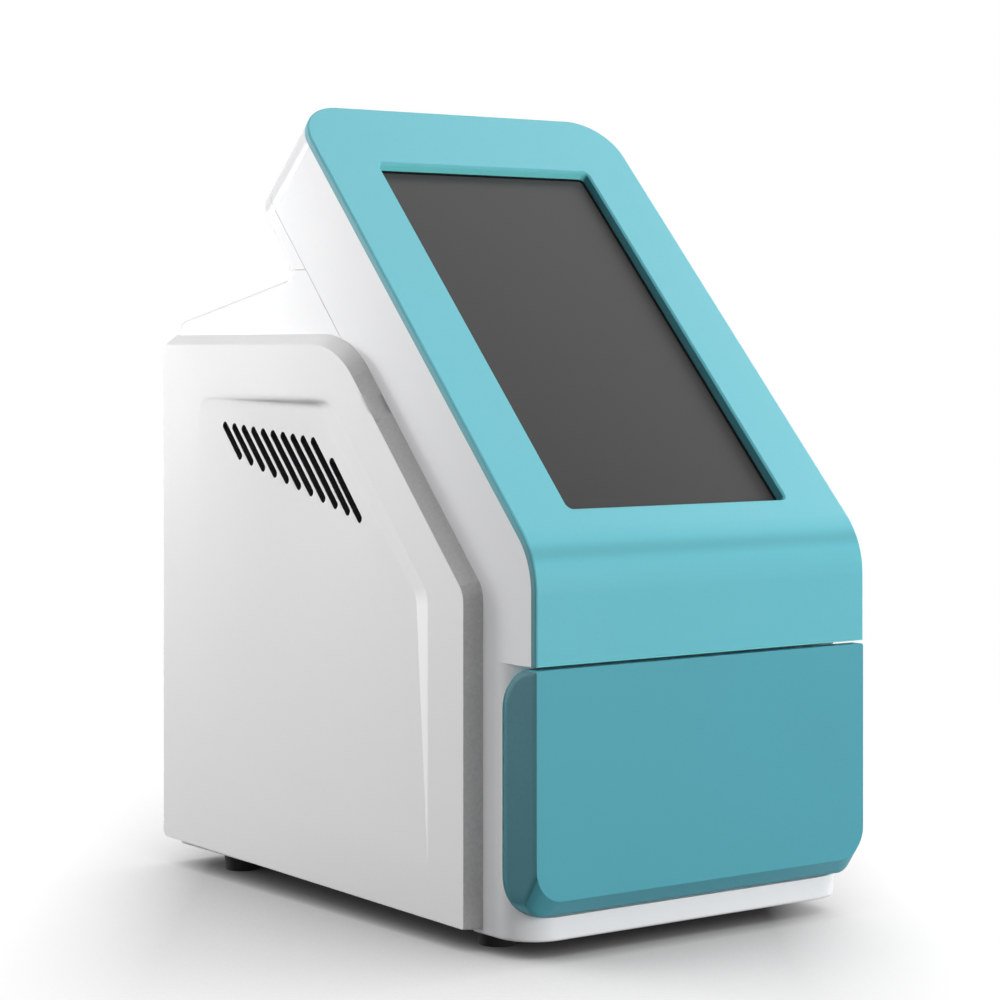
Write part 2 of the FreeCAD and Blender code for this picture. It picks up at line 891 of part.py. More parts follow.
def make_rear_screws():
    shapes = []
    half = rear_panel_half - rear_panel_lap / 2
    for x in (-half, half):
        for z in (rear_panel_low_z + rear_panel_lap / 2, rear_panel_high_z - rear_panel_lap / 2):
            base = V(x, rear_face_y + rear_panel_thick, z)
            shapes.append(make_screw(base, V(0, 1, 0), screw_length))
    return Part.makeCompound(shapes)


def base_screw_places():
    half = inner_half - pan_rim
    rows = (foot_front_y + 2 * foot_radius, foot_rear_y - 2 * foot_radius)
    return [(x, y) for x in (-half, half) for y in rows]


def make_base_screws():
    shapes = []
    for x, y in base_screw_places():
        shapes.append(make_screw(V(x, y, base_z), V(0, 0, -1), pan_thick))
    return Part.makeCompound(shapes)


def make_drawer_tray():
    front = 2 * door_wall
    plan = oblong(-tray_half, tray_half, front, tray_rear_y)
    radii = [0, 0, tray_corner, tray_corner]
    height = tray_thick + tray_rim_height
    tray = prism(plan, radii, on_plan(tray_z), V(0, 0, height))
    inner = oblong(
        -tray_half + tray_rim_wall, tray_half - tray_rim_wall,
        front + tray_flange_thick, tray_rear_y - tray_rim_wall,
    )
    inner_radii = [0, 0, tray_corner - tray_rim_wall, tray_corner - tray_rim_wall]
    tray = tray.cut(prism(inner, inner_radii, on_plan(tray_z + tray_thick), V(0, 0, height)))
    centre = V(0, disc_y, tray_z + tray_thick)
    well = rod(well_radius + well_wall, well_height, centre, V(0, 0, 1))
    well = well.cut(rod(well_radius, well_height, centre, V(0, 0, 1)))
    tray = tray.fuse(well.common(block(-tray_half, tray_half, front, tray_rear_y, tray_z, 2 * tray_flange_z)))
    flange = rect(tray_half, tray_z, tray_flange_z)
    flange_radii = [0, 0, tray_corner, tray_corner]
    tray = tray.fuse(prism(flange, flange_radii, on_front(front), V(0, tray_flange_thick, 0)))
    tray = tray.cut(rod(shaft_radius * 2, overrun, V(0, disc_y, tray_z - seat_gap), V(0, 0, 1)))
    wing_z0 = rail_z - tray_wing_thick
    for side in (-1, 1):
        x_near = side * (tray_half - tray_rim_wall)
        x_far = side * rail_inner_x
        wing = block(
            min(x_near, x_far), max(x_near, x_far),
            front, tray_rear_y - tray_corner, wing_z0, wing_z0 + tray_wing_thick,
        )
        tray = tray.fuse(wing)
    return tray.removeSplitter()


def make_turntable():
    z = tray_z + tray_thick + disc_rise
    centre = V(0, disc_y, z)
    up = V(0, 0, 1)
    disc = rod(disc_radius, disc_thick, centre, up)
    groove_foot = centre + up * (disc_thick - disc_groove)
    groove = rod(disc_radius - disc_groove * 2, disc_groove, groove_foot, up)
    land = rod(disc_radius - disc_window_radius * 6, disc_groove, groove_foot, up)
    disc = disc.cut(groove.cut(land))
    for i in range(disc_window_count):
        turn = 2 * math.pi * i / disc_window_count
        spot_y = disc_y + disc_window_circle * math.sin(turn)
        spot = V(disc_window_circle * math.cos(turn), spot_y, z - overrun)
        disc = disc.cut(rod(disc_window_radius, 2 * overrun, spot, up))
    bore = rod(shaft_radius + shaft_clearance, disc_thick, centre, up)
    return disc.cut(bore)


def make_turntable_hub():
    up = V(0, 0, 1)
    z = tray_z + tray_thick + disc_rise + disc_thick
    centre = V(0, disc_y, z)
    hub = rod(hub_radius, hub_height / 2, centre, up)
    crown_foot = centre + up * (hub_height / 2)
    crown = Part.makeCone(hub_radius - pan_thick, hub_radius / 2, hub_height / 2, crown_foot, up)
    hub = hub.fuse(crown)
    shaft_foot = tray_z - spindle_bore_depth + seat_gap
    hub = hub.fuse(rod(shaft_radius, z - shaft_foot, V(0, disc_y, shaft_foot), up))
    for i in range(hub_pin_count):
        turn = 2 * math.pi * i / hub_pin_count
        x = hub_pin_circle * math.cos(turn)
        y = disc_y + hub_pin_circle * math.sin(turn)
        hub = hub.fuse(rod(hub_pin_radius, hub_height / 2 + hub_pin_height, V(x, y, z), up))
    return hub.removeSplitter()


def make_spindle_motor():
    down = V(0, 0, -1)
    top = V(0, disc_y, tray_z)
    flange = rod(spindle_flange, spindle_flange_thick, top, down)
    can = rod(spindle_radius, spindle_height, top, down)
    seat = rod(shaft_radius + shaft_clearance, spindle_bore_depth, top, down)
    tail = rod(shaft_radius * 2, spindle_height + pan_thick, top, down)
    return flange.fuse(can).fuse(tail).cut(seat).removeSplitter()


# Channel section of a telescopic rail, open towards the drawer
def rail_section(x, height, length, sheet, side):
    middle = rail_z + rail_height / 2
    low = middle - height / 2
    high = middle + height / 2
    back = x + rail_step - rail_clearance
    points = [
        (x, low), (back, low), (back, high), (x, high),
        (x, high - sheet), (back - sheet, high - sheet),
        (back - sheet, low + sheet), (x, low + sheet),
    ]
    flipped = [(side * a, b) for a, b in points]
    return prism(flipped, even(0, flipped), on_front(rail_y), V(0, length, 0))


def make_runner_outer(side):
    height = rail_height
    rail = rail_section(rail_middle_x + rail_clearance, height, rail_length, rail_sheet, side)
    return rail


def make_runner_middle(side):
    gap = rail_sheet + rail_clearance
    height = rail_height - 2 * gap
    low = rail_z + gap
    x0 = rail_inner_x + rail_clearance
    x1 = rail_outer_x - rail_clearance - rail_sheet - rail_clearance
    sheet = rail_sheet
    middle = (x0 + x1) / 2
    points = [
        (x0, low), (x1, low), (x1, low + sheet), (middle + sheet / 2, low + sheet),
        (middle + sheet / 2, low + height - sheet), (x1, low + height - sheet),
        (x1, low + height), (x0, low + height), (x0, low + height - sheet),
        (middle - sheet / 2, low + height - sheet), (middle - sheet / 2, low + sheet), (x0, low + sheet),
    ]
    flipped = [(side * a, b) for a, b in points]
    return prism(flipped, even(0, flipped), on_front(rail_y), V(0, rail_length, 0))


def make_runner_inner(side):
    gap = 2 * (rail_sheet + rail_clearance)
    low = rail_z + gap
    high = rail_z + rail_height - gap
    x0 = tray_half
    x1 = rail_inner_x
    points = [(x0, low), (x1, low), (x1, high), (x0, high)]
    flipped = [(side * a, b) for a, b in points]
    return prism(flipped, even(0, flipped), on_front(rail_y), V(0, rail_length - tray_corner - rail_sheet, 0))


def make_hanger(side):
    x0 = rail_outer_x
    sheet = hanger_thick
    top = rail_z + rail_height
    points = [
        (x0, pan_z), (x0 + hanger_foot, pan_z), (x0 + hanger_foot, pan_z + sheet),
        (x0 + sheet, pan_z + sheet), (x0 + sheet, top), (x0, top),
    ]
    flipped = [(side * a, b) for a, b in points]
    start = rail_y + gear_width
    hanger = prism(flipped, even(0, flipped), on_front(start), V(0, rail_length - gear_width, 0))
    for share in lightening_shares:
        y = start + (rail_length - gear_width) * share
        spot = V(side * (x0 - overrun / 2), y, (pan_z + rail_z) / 2)
        hanger = hanger.cut(rod(pan_rim, overrun, spot, V(side, 0, 0)))
    return hanger


# Straight flanked gear tooth space, worked out on the pitch line
def make_rack():
    pitch = math.pi * gear_module
    z_tip = rack_pitch_z - gear_module
    z_root = rack_pitch_z + gear_module + tip_clearance
    flank = math.tan(math.radians(20))
    half_pitch = pitch / 4 - tooth_backlash / 2
    half_tip = half_pitch - gear_module * flank
    half_root = half_pitch + (z_root - rack_pitch_z) * flank
    first = pinion_y + pitch / 2
    start_index = -int((first - rack_start_y) / pitch)
    points = []
    for i in range(start_index, start_index + rack_tooth_count):
        middle = first + pitch * i
        points.append((middle - half_root, z_root))
        points.append((middle - half_tip, z_tip))
        points.append((middle + half_tip, z_tip))
        points.append((middle + half_root, z_root))
    points.append((points[-1][0] + half_tip, z_root))
    points.append((points[-1][0], tray_z))
    points.insert(0, (points[0][0] - half_tip, z_root))
    points.append((points[0][0], tray_z))
    x0 = rack_x - gear_width / 2
    return prism(points, even(0, points), on_side(x0), V(gear_width, 0, 0))


# Involute flanks joined by a straight root, one profile for the whole wheel
def make_pinion():
    pressure = math.radians(20)
    pitch_r = gear_pitch_radius
    base_r = pitch_r * math.cos(pressure)
    tip_r = pitch_r + gear_module
    root_r = pitch_r - gear_module - tip_clearance
    inv_pitch = math.tan(pressure) - pressure
    half_tooth = math.pi / (2 * pinion_teeth) - tooth_backlash / (2 * pitch_r)
    flank = []
    for share in flank_shares:
        radius = base_r + (tip_r - base_r) * share
        angle = math.acos(min(1, base_r / radius))
        flank.append((radius, half_tooth + inv_pitch - (math.tan(angle) - angle)))
    profile = []
    for i in range(pinion_teeth):
        middle = math.pi / 2 + 2 * math.pi * i / pinion_teeth
        profile.append((root_r, middle - flank[0][1]))
        for radius, offset in flank:
            profile.append((radius, middle - offset))
        for radius, offset in reversed(flank):
            profile.append((radius, middle + offset))
        profile.append((root_r, middle + flank[0][1]))
    points = []
    for radius, angle in profile:
        points.append((pinion_y + radius * math.cos(angle), pinion_z + radius * math.sin(angle)))
    x0 = rack_x - gear_width / 2
    wheel = prism(points, even(0, points), on_side(x0), V(gear_width, 0, 0))
    bore = rod(pinion_bore, 2 * overrun, V(x0 - overrun / 2, pinion_y, pinion_z), V(1, 0, 0))
    return wheel.cut(bore)


def motor_face_x():
    return rack_x + gear_width / 2 + motor_plate_thick


def make_drive_motor():
    ahead = V(1, 0, 0)
    face = V(motor_face_x() + motor_plate_thick, pinion_y, pinion_z)
    gearbox = rod(motor_radius + pan_thick, gearbox_length, face, ahead)
    can = rod(motor_radius, motor_length - gearbox_length, face + ahead * gearbox_length, ahead)
    reach = motor_face_x() + motor_plate_thick - rack_x + gear_width / 2
    shaft = rod(pinion_bore - motor_shaft_clearance, reach, face, V(-1, 0, 0))
    return gearbox.fuse(can).fuse(shaft).removeSplitter()


def make_motor_bracket():
    x0 = motor_face_x()
    half = motor_plate_half
    top = pinion_z + motor_radius + pan_thick
    plate = block(x0, x0 + motor_plate_thick, pinion_y - half / 2, pinion_y + half, pan_z, top)
    foot = block(x0, x0 + half, pinion_y - half / 2, pinion_y + half, pan_z, pan_z + motor_plate_thick)
    collar = rod(pinion_bore + seat_gap, 2 * overrun, V(x0 - overrun, pinion_y, pinion_z), V(1, 0, 0))
    return plate.fuse(foot).cut(collar).removeSplitter()


def make_optics_bridge():
    half = bridge_half
    sheet = bridge_thick
    points = [
        (-half, pan_z), (-half + bridge_foot / 4, pan_z), (-half + bridge_foot / 4, pan_z + sheet),
        (-half + sheet, pan_z + sheet), (-half + sheet, bridge_z - sheet),
        (half - sheet, bridge_z - sheet), (half - sheet, pan_z + sheet),
        (half - bridge_foot / 4, pan_z + sheet), (half - bridge_foot / 4, pan_z),
        (half, pan_z), (half, bridge_z), (-half, bridge_z),
    ]
    return prism(points, even(0, points), on_front(bridge_front_y), V(0, bridge_rear_y - bridge_front_y, 0))


def make_optical_block():
    plan = oblong(-optics_half, optics_half, optics_front_y, optics_rear_y)
    top = bridge_z - bridge_thick
    body = prism(plan, even(optics_corner, plan), on_plan(optics_bottom_z), V(0, 0, top - optics_bottom_z))
    spot = V(0, disc_y + disc_window_circle, optics_bottom_z - overrun / 2)
    body = body.cut(rod(optics_bore, overrun, spot, V(0, 0, 1)))
    for side in (-1, 1):
        x = side * optics_half * 2 / 3
        groove = block(
            x - optics_bore / 2, x + optics_bore / 2,
            optics_front_y - optics_corner, optics_front_y + pan_thick, optics_bottom_z - pan_thick, top,
        )
        body = body.cut(groove)
    return body


def make_lamp_module():
    up = V(0, 0, 1)
    base = V(0, lamp_y, bridge_z)
    lamp = rod(lamp_radius, lamp_height, base, up)
    step = lamp_height / (lamp_fin_count + 1)
    for i in range(lamp_fin_count):
        lamp = lamp.fuse(rod(lamp_fin_radius, lamp_fin_thick, base + up * (step * (i + 1)), up))
    return lamp.removeSplitter()


def board_back_y():
    return rear_face_y - wall


def make_main_board():
    z = pan_z + board_rise
    plan = oblong(board_x0, board_x1, board_y0, board_back_y())
    board = prism(plan, even(standoff_radius, plan), on_plan(z), V(0, 0, board_thick))
    for x, y in standoff_places():
        board = board.cut(rod(screw_radius, overrun, V(x, y, z - overrun / 2), V(0, 0, 1)))
    chip_z = z + board_thick
    chip_low = chip_y - chip_half
    chip_high = chip_y + chip_half
    chip_top = chip_z + chip_height
    chip = block(chip_x - chip_half, chip_x + chip_half, chip_low, chip_high, chip_z, chip_top)
    row_x = board_x0 + 2 * standoff_inset
    row_back = chip_y + 2 * chip_half
    header = block(row_x, row_x + chip_height, chip_low, row_back, chip_z, chip_z + 2 * chip_height)
    return board.fuse(chip).fuse(header).removeSplitter()


def standoff_places():
    xs = (board_x0 + standoff_inset, board_x1 - standoff_inset)
    ys = (board_y0 + standoff_inset, board_back_y() - 2 * standoff_inset - usb_depth)
    return [(x, y) for x in xs for y in ys]


def make_board_standoffs():
    shapes = [rod(standoff_radius, board_rise, V(x, y, pan_z), V(0, 0, 1)) for x, y in standoff_places()]
    return Part.makeCompound(shapes)


def make_power_supply():
    case = block(psu_x0, psu_x1, psu_y0, psu_y1, pan_z, pan_z + psu_height)
    top = pan_z + psu_height
    for i in range(psu_slot_count):
        x = psu_x0 + psu_slot_margin + psu_slot_pitch * i
        y0 = psu_y0 + psu_slot_margin
        y1 = psu_y1 - psu_slot_margin
        slot = block(x, x + psu_slot_width, y0, y1, top - psu_slot_depth, top + overrun)
        case = case.cut(slot)
    return case


def inlet_points(half_x, half_z, chamfer):
    return [
        (inlet_x - half_x, inlet_z - half_z), (inlet_x + half_x, inlet_z - half_z),
        (inlet_x + half_x, inlet_z + half_z - chamfer), (inlet_x + half_x - chamfer, inlet_z + half_z),
        (inlet_x - half_x + chamfer, inlet_z + half_z), (inlet_x - half_x, inlet_z + half_z - chamfer),
    ]


def rear_skin_y():
    return rear_face_y + rear_panel_thick


def make_power_inlet():
    skin = rear_skin_y()
    flange_points = oblong(
        inlet_x - inlet_flange_x, inlet_x + inlet_flange_x,
        inlet_z - inlet_flange_z, inlet_z + inlet_flange_z,
    )
    flange_radii = even(inlet_flange_corner, flange_points)
    flange = prism(flange_points, flange_radii, on_front(skin), V(0, inlet_flange_thick, 0))
    half_x = inlet_half_width + inlet_wall
    half_z = inlet_half_height + inlet_wall
    body = inlet_points(half_x, half_z, inlet_chamfer)
    reach = inlet_depth + inlet_wall
    shell = prism(body, even(0, body), on_front(skin - reach), V(0, reach, 0)).fuse(flange)
    hollow = inlet_points(inlet_half_width, inlet_half_height, inlet_chamfer)
    shell = shell.cut(prism(hollow, even(0, hollow), on_front(skin - inlet_depth), V(0, reach + overrun, 0)))
    spread = inlet_pin_spread
    drop = inlet_pin_drop
    for x, z in ((-spread, -drop), (0, drop), (spread, -drop)):
        pin = block(
            inlet_x + x - inlet_pin_width / 2, inlet_x + x + inlet_pin_width / 2,
            skin - inlet_depth, skin - inlet_depth + inlet_pin_length,
            inlet_z + z - inlet_pin_height / 2, inlet_z + z + inlet_pin_height / 2,
        )
        shell = shell.fuse(pin)
    for side in (-1, 1):
        x = inlet_x + side * (inlet_half_width + inlet_flange_x) / 2 + side * inlet_wall
        shell = shell.cut(rod(screw_radius, overrun, V(x, skin - overrun / 2, inlet_z), V(0, 1, 0)))
    return shell.removeSplitter()


def make_switch_housing():
    skin = rear_skin_y()
    half_x = switch_half_width + switch_wall
    half_z = switch_half_height + switch_wall
    flange_points = oblong(
        switch_x - half_x - switch_flange, switch_x + half_x + switch_flange,
        switch_z - half_z - switch_flange, switch_z + half_z + switch_flange,
    )
    flange_radii = even(pan_thick, flange_points)
    flange = prism(flange_points, flange_radii, on_front(skin), V(0, switch_flange_thick, 0))
    left = switch_x - half_x
    right = switch_x + half_x
    housing = block(left, right, skin - switch_depth, skin, switch_z - half_z, switch_z + half_z).fuse(flange)
    hollow = block(
        switch_x - switch_half_width, switch_x + switch_half_width,
        skin - switch_depth + switch_wall, skin + overrun,
        switch_z - switch_half_height, switch_z + switch_half_height,
    )
    housing = housing.cut(hollow)
    pivot = rocker_pivot()
    axle = rod(rocker_axle_radius, 2 * half_z, V(pivot.x, pivot.y, switch_z - half_z), V(0, 0, 1))
    return housing.fuse(axle).removeSplitter()


def rocker_pivot():
    return V(switch_x, rear_skin_y() - rocker_pivot_depth, switch_z)


# Two faced key that rocks about an upright pin, drawn tilted to its off side
def make_power_rocker():
    pivot = rocker_pivot()
    half_x = switch_half_width - rocker_gap - pan_thick
    rise = rocker_pivot_depth + rocker_crown
    drop = rocker_radius * (1 - math.cos(math.radians(2 * rocker_tilt)))
    points = [
        (-half_x, rise), (-half_x, rise / 3), (-rocker_heel, -rocker_heel / 2),
        (rocker_heel, -rocker_heel / 2), (half_x, rise / 3), (half_x, rise), (0, rise - drop),
    ]
    turn = math.radians(rocker_tilt)
    placed = []
    for a, b in points:
        x = a * math.cos(turn) - b * math.sin(turn)
        y = a * math.sin(turn) + b * math.cos(turn)
        placed.append((pivot.x + x, pivot.y + y))
    half_z = switch_half_height - rocker_gap
    radii = [pan_thick / 2, 0, 0, 0, 0, pan_thick / 2, 0]
    key = prism(placed, radii, on_plan(switch_z - half_z), V(0, 0, 2 * half_z))
    bore_foot = V(pivot.x, pivot.y, switch_z - 2 * half_z)
    bore = rod(rocker_axle_radius + shaft_clearance, 4 * half_z, bore_foot, V(0, 0, 1))
    return key.cut(bore)


def port_floor_z():
    return pan_z + board_rise + board_thick


def port_box(x, half, height, depth, thick, proud):
    z0 = port_floor_z()
    y1 = rear_skin_y() + proud
    outer = block(x - half, x + half, y1 - depth, y1, z0, z0 + height)
    floor_y = y1 - depth + thick
    hollow = block(x - half + thick, x + half - thick, floor_y, y1 + overrun, z0 + thick, z0 + height - thick)
    return outer.cut(hollow)


def make_usb_ports():
    shapes = []
    for i in range(2):
        x = usb_x + usb_pitch * i
        shapes.append(port_box(x, usb_half_width, usb_height, usb_depth, usb_wall, port_proud))
    return Part.makeCompound(shapes)


def make_lan_port():
    return port_box(lan_x, lan_half_width, lan_height, lan_depth, lan_wall, port_proud)


def fan_front_y():
    return rear_face_y - fan_thick


def make_fan_frame():
    square = oblong(fan_x - fan_half, fan_x + fan_half, fan_z - fan_half, fan_z + fan_half)
    frame = prism(square, even(fan_corner, square), on_front(fan_front_y()), V(0, fan_thick, 0))
    back = V(0, 1, 0)
    centre = V(fan_x, fan_front_y() - overrun, fan_z)
    frame = frame.cut(rod(fan_bore, fan_thick + 2 * overrun, centre, back))
    start = V(fan_x, fan_front_y(), fan_z)
    motor = rod(fan_hub, fan_spoke_thick, start, back)
    for i in range(4):
        turn = 45 + 90 * i
        spoke_half = fan_spoke_width / 2
        spoke = block(0, fan_bore + fan_spoke_width, 0, fan_spoke_thick, -spoke_half, spoke_half)
        spoke.rotate(V(0, 0, 0), V(0, 1, 0), turn)
        spoke.translate(start)
        motor = motor.fuse(spoke)
    motor = motor.fuse(rod(fan_axle_radius, fan_thick - fan_spoke_thick, start, back))
    frame = frame.fuse(motor)
    for x in (-fan_screw_offset, fan_screw_offset):
        for z in (-fan_screw_offset, fan_screw_offset):
            hole = V(fan_x + x, fan_front_y() - overrun, fan_z + z)
            frame = frame.cut(rod(screw_radius, fan_thick + 2 * overrun, hole, back))
    return frame.removeSplitter()


def make_fan_rotor():
    back = V(0, 1, 0)
    y0 = fan_front_y() + fan_spoke_thick + fan_float
    length = fan_thick - fan_spoke_thick - 2 * fan_float
    centre = V(fan_x, y0, fan_z)
    hub = rod(fan_hub, length, centre, back)
    tip = fan_bore - fan_blade_tip_gap
    for i in range(fan_blade_count):
        thick = fan_blade_thick / 2
        blade = block(fan_hub - fan_blade_thick, tip, -length / 2, length / 2, -thick, thick)
        blade.rotate(V(0, 0, 0), V(1, 0, 0), fan_blade_pitch)
        blade.translate(V(0, length / 2, 0))
        blade.rotate(V(0, 0, 0), V(0, 1, 0), 360 * i / fan_blade_count)
        blade.translate(centre)
        hub = hub.fuse(blade)
    limit = rod(tip, length, centre, back)
    hub = hub.common(limit)
    bore = rod(fan_axle_radius + shaft_clearance, 2 * length, centre - back * (length / 2), back)
    return hub.cut(bore).removeSplitter()


def make_fan_guard():
    back = V(0, 1, 0)
    y = rear_skin_y()
    centre = V(fan_x, y, fan_z)
    guard = None
    for i in range(guard_ring_count):
        radius = guard_first_radius + guard_ring_step * i
        ring = rod(radius + guard_wire / 2, guard_wire, centre, back)
        ring = ring.cut(rod(radius - guard_wire / 2, guard_wire, centre, back))
        guard = ring if guard is None else guard.fuse(ring)
    reach = fan_screw_offset * math.sqrt(2)
    for i in range(4):
        arm = block(guard_first_radius, reach, 0, guard_wire, -guard_wire / 2, guard_wire / 2)
        eye = rod(screw_head_radius, guard_wire, V(reach, 0, 0), back)
        arm = arm.fuse(eye)
        arm.rotate(V(0, 0, 0), back, 45 + 90 * i)
        arm.translate(centre)
        guard = guard.fuse(arm)
    return guard.removeSplitter()


def make_rear_panel():
    points = rect(rear_panel_half - seat_gap, rear_panel_low_z + seat_gap, rear_panel_high_z - seat_gap)
    panel = prism(points, even(rear_panel_corner, points), on_front(rear_face_y), V(0, rear_panel_thick, 0))
    back = V(0, 1, 0)
    panel = panel.cut(rod(fan_bore, 2 * overrun, V(fan_x, rear_face_y - overrun, fan_z), back))
    start = on_front(rear_face_y - overrun)
    way = V(0, 2 * overrun, 0)
    body = inlet_points(inlet_half_width + inlet_wall, inlet_half_height + inlet_wall, inlet_chamfer)
    panel = panel.cut(prism(body, even(0, body), start, way))
    half_x = switch_half_width + switch_wall
    half_z = switch_half_height + switch_wall
    box = oblong(switch_x - half_x, switch_x + half_x, switch_z - half_z, switch_z + half_z)
    panel = panel.cut(prism(box, even(0, box), start, way))
    z0 = port_floor_z()
    ports = [(usb_x + usb_pitch * i, usb_half_width, usb_height) for i in range(2)]
    ports.append((lan_x, lan_half_width, lan_height))
    for x, half, height in ports:
        gap = port_clearance
        hole = oblong(x - half - gap, x + half + gap, z0 - gap, z0 + height + gap)
        panel = panel.cut(prism(hole, even(0, hole), start, way))
    lap = rear_panel_lap / 2
    for x in (-rear_panel_half + lap, rear_panel_half - lap):
        for z in (rear_panel_low_z + lap, rear_panel_high_z - lap):
            panel = panel.cut(rod(screw_radius, 2 * overrun, V(x, rear_face_y - overrun, z), back))
    return panel


def cut_rear_screw_holes(shell):
    lap = rear_panel_lap / 2
    for x in (-rear_panel_half + lap, rear_panel_half - lap):
        for z in (rear_panel_low_z + lap, rear_panel_high_z - lap):
            shell = shell.cut(rod(screw_radius, overrun, V(x, rear_face_y - overrun, z), V(0, 1, 0)))
    return shell


def cut_base_screw_holes(pan):
    for x, y in base_screw_places():
        pan = pan.cut(rod(screw_radius, overrun, V(x, y, base_z - overrun / 2), V(0, 0, 1)))
    return pan


def build():
    panel = make_side_panel()
    vent_filter = make_vent_filter()
    return {
        "front_housing": make_front_housing(),
        "fascia": make_fascia(),
        "screen_glass": make_screen_glass(),
        "display_module": make_display_module(),
        "display_bracket": make_display_bracket(),
        "main_cover": cut_rear_screw_holes(make_main_cover()),
        "head_back_cover": make_head_back_cover(),
        "vent_filter_left": vent_filter,
        "vent_filter_right": mirrored(vent_filter),
        "side_panel_left": panel,
        "side_panel_right": mirrored(panel),
        "chassis_base": cut_base_screw_holes(make_chassis_base()),
        "foot_front_left": make_foot(-foot_x, foot_front_y),
        "foot_front_right": make_foot(foot_x, foot_front_y),
        "foot_rear_left": make_foot(-foot_x, foot_rear_y),
        "foot_rear_right": make_foot(foot_x, foot_rear_y),
        "base_screws": make_base_screws(),
        "drawer_front": make_drawer_front(),
        "drawer_tray": make_drawer_tray(),
        "spindle_motor": make_spindle_motor(),
        "turntable": make_turntable(),
        "turntable_hub": make_turntable_hub(),
        "runner_outer_left": make_runner_outer(-1),
        "runner_outer_right": make_runner_outer(1),
        "runner_middle_left": make_runner_middle(-1),
        "runner_middle_right": make_runner_middle(1),
        "runner_inner_left": make_runner_inner(-1),
        "runner_inner_right": make_runner_inner(1),
        "runner_hanger_left": make_hanger(-1),
        "runner_hanger_right": make_hanger(1),
        "drive_rack": make_rack(),
        "drive_pinion": make_pinion(),
        "drive_motor": make_drive_motor(),
        "motor_bracket": make_motor_bracket(),
        "optics_bridge": make_optics_bridge(),
        "optical_block": make_optical_block(),
        "lamp_module": make_lamp_module(),
        "main_board": make_main_board(),
        "board_standoffs": make_board_standoffs(),
        "power_supply": make_power_supply(),
        "rear_panel": make_rear_panel(),
        "rear_screws": make_rear_screws(),
        "power_inlet": make_power_inlet(),
        "switch_housing": make_switch_housing(),
        "power_rocker": make_power_rocker(),
        "usb_ports": make_usb_ports(),
        "lan_port": make_lan_port(),
        "fan_frame": make_fan_frame(),
        "fan_rotor": make_fan_rotor(),
        "fan_guard": make_fan_guard(),
    }


for name, shape in build().items():
    shape.translate(V(0, -depth_middle, 0))
    shape.exportStep("parts/" + name + ".step")
    print(name, round(shape.Volume), len(shape.Solids), shape.isValid())
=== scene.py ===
import logging
import math
from dataclasses import dataclass, field
from enum import Enum
from typing import Any, Callable, Sequence

import bpy
from mathutils import Matrix, Vector


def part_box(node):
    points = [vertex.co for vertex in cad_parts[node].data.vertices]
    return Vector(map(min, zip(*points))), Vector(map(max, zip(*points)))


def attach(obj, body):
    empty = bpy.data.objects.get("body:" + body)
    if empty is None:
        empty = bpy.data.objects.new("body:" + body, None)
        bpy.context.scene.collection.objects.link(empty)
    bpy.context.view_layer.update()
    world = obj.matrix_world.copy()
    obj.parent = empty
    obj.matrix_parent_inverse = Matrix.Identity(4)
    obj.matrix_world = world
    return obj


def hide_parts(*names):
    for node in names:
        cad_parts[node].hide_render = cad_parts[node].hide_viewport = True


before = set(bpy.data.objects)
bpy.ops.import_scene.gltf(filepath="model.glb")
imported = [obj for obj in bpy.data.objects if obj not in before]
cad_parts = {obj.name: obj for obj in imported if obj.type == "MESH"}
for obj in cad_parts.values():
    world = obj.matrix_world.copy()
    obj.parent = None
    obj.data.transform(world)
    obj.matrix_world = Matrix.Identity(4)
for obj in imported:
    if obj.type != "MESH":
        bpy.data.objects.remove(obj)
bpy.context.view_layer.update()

LOG = logging.getLogger("analyzer")
MM = 0.001
WHITE = (1.0, 1.0, 1.0)
WELD = 0.001 * MM
SMOOTH_ANGLE = math.radians(35)

Colour = tuple[float, float, float]
Place = tuple[float, float, float]
Spot = tuple[float, float]


class Body(Enum):
    """The bodies of the frame that new pieces ride on."""

    BASE = "base"
    ROCKER = "rocker"


class Axis(Enum):
    """The three directions of the frame."""

    X = 0
    Y = 1
    Z = 2


def linear(red: float, green: float, blue: float) -> Colour:
    """Turns a screen colour into a linear one.

    Args:
        red: Red from 0 to 255.
        green: Green from 0 to 255.
        blue: Blue from 0 to 255.

    Returns:
        The linear colour, each part from 0 to 1.
    """
    parts = [value / 255 for value in (red, green, blue)]
    return tuple(p / 12.92 if p <= 0.04045 else ((p + 0.055) / 1.055) ** 2.4 for p in parts)


def scaled(colour: Colour, share: float) -> Colour:
    """The colour with every part times share, at most 1."""
    return tuple(min(1.0, part * share) for part in colour)


def combining(operation: str, swap: bool = False) -> Callable[["Wire", "Wire | float"], "Wire"]:
    """Makes an operator that combines a wire with another operand.

    Args:
        operation: The Math node's operation.
        swap: Whether the wire is the second operand.

    Returns:
        The operator.
    """
    return lambda wire, other: wire.math(operation, other, swap=swap)


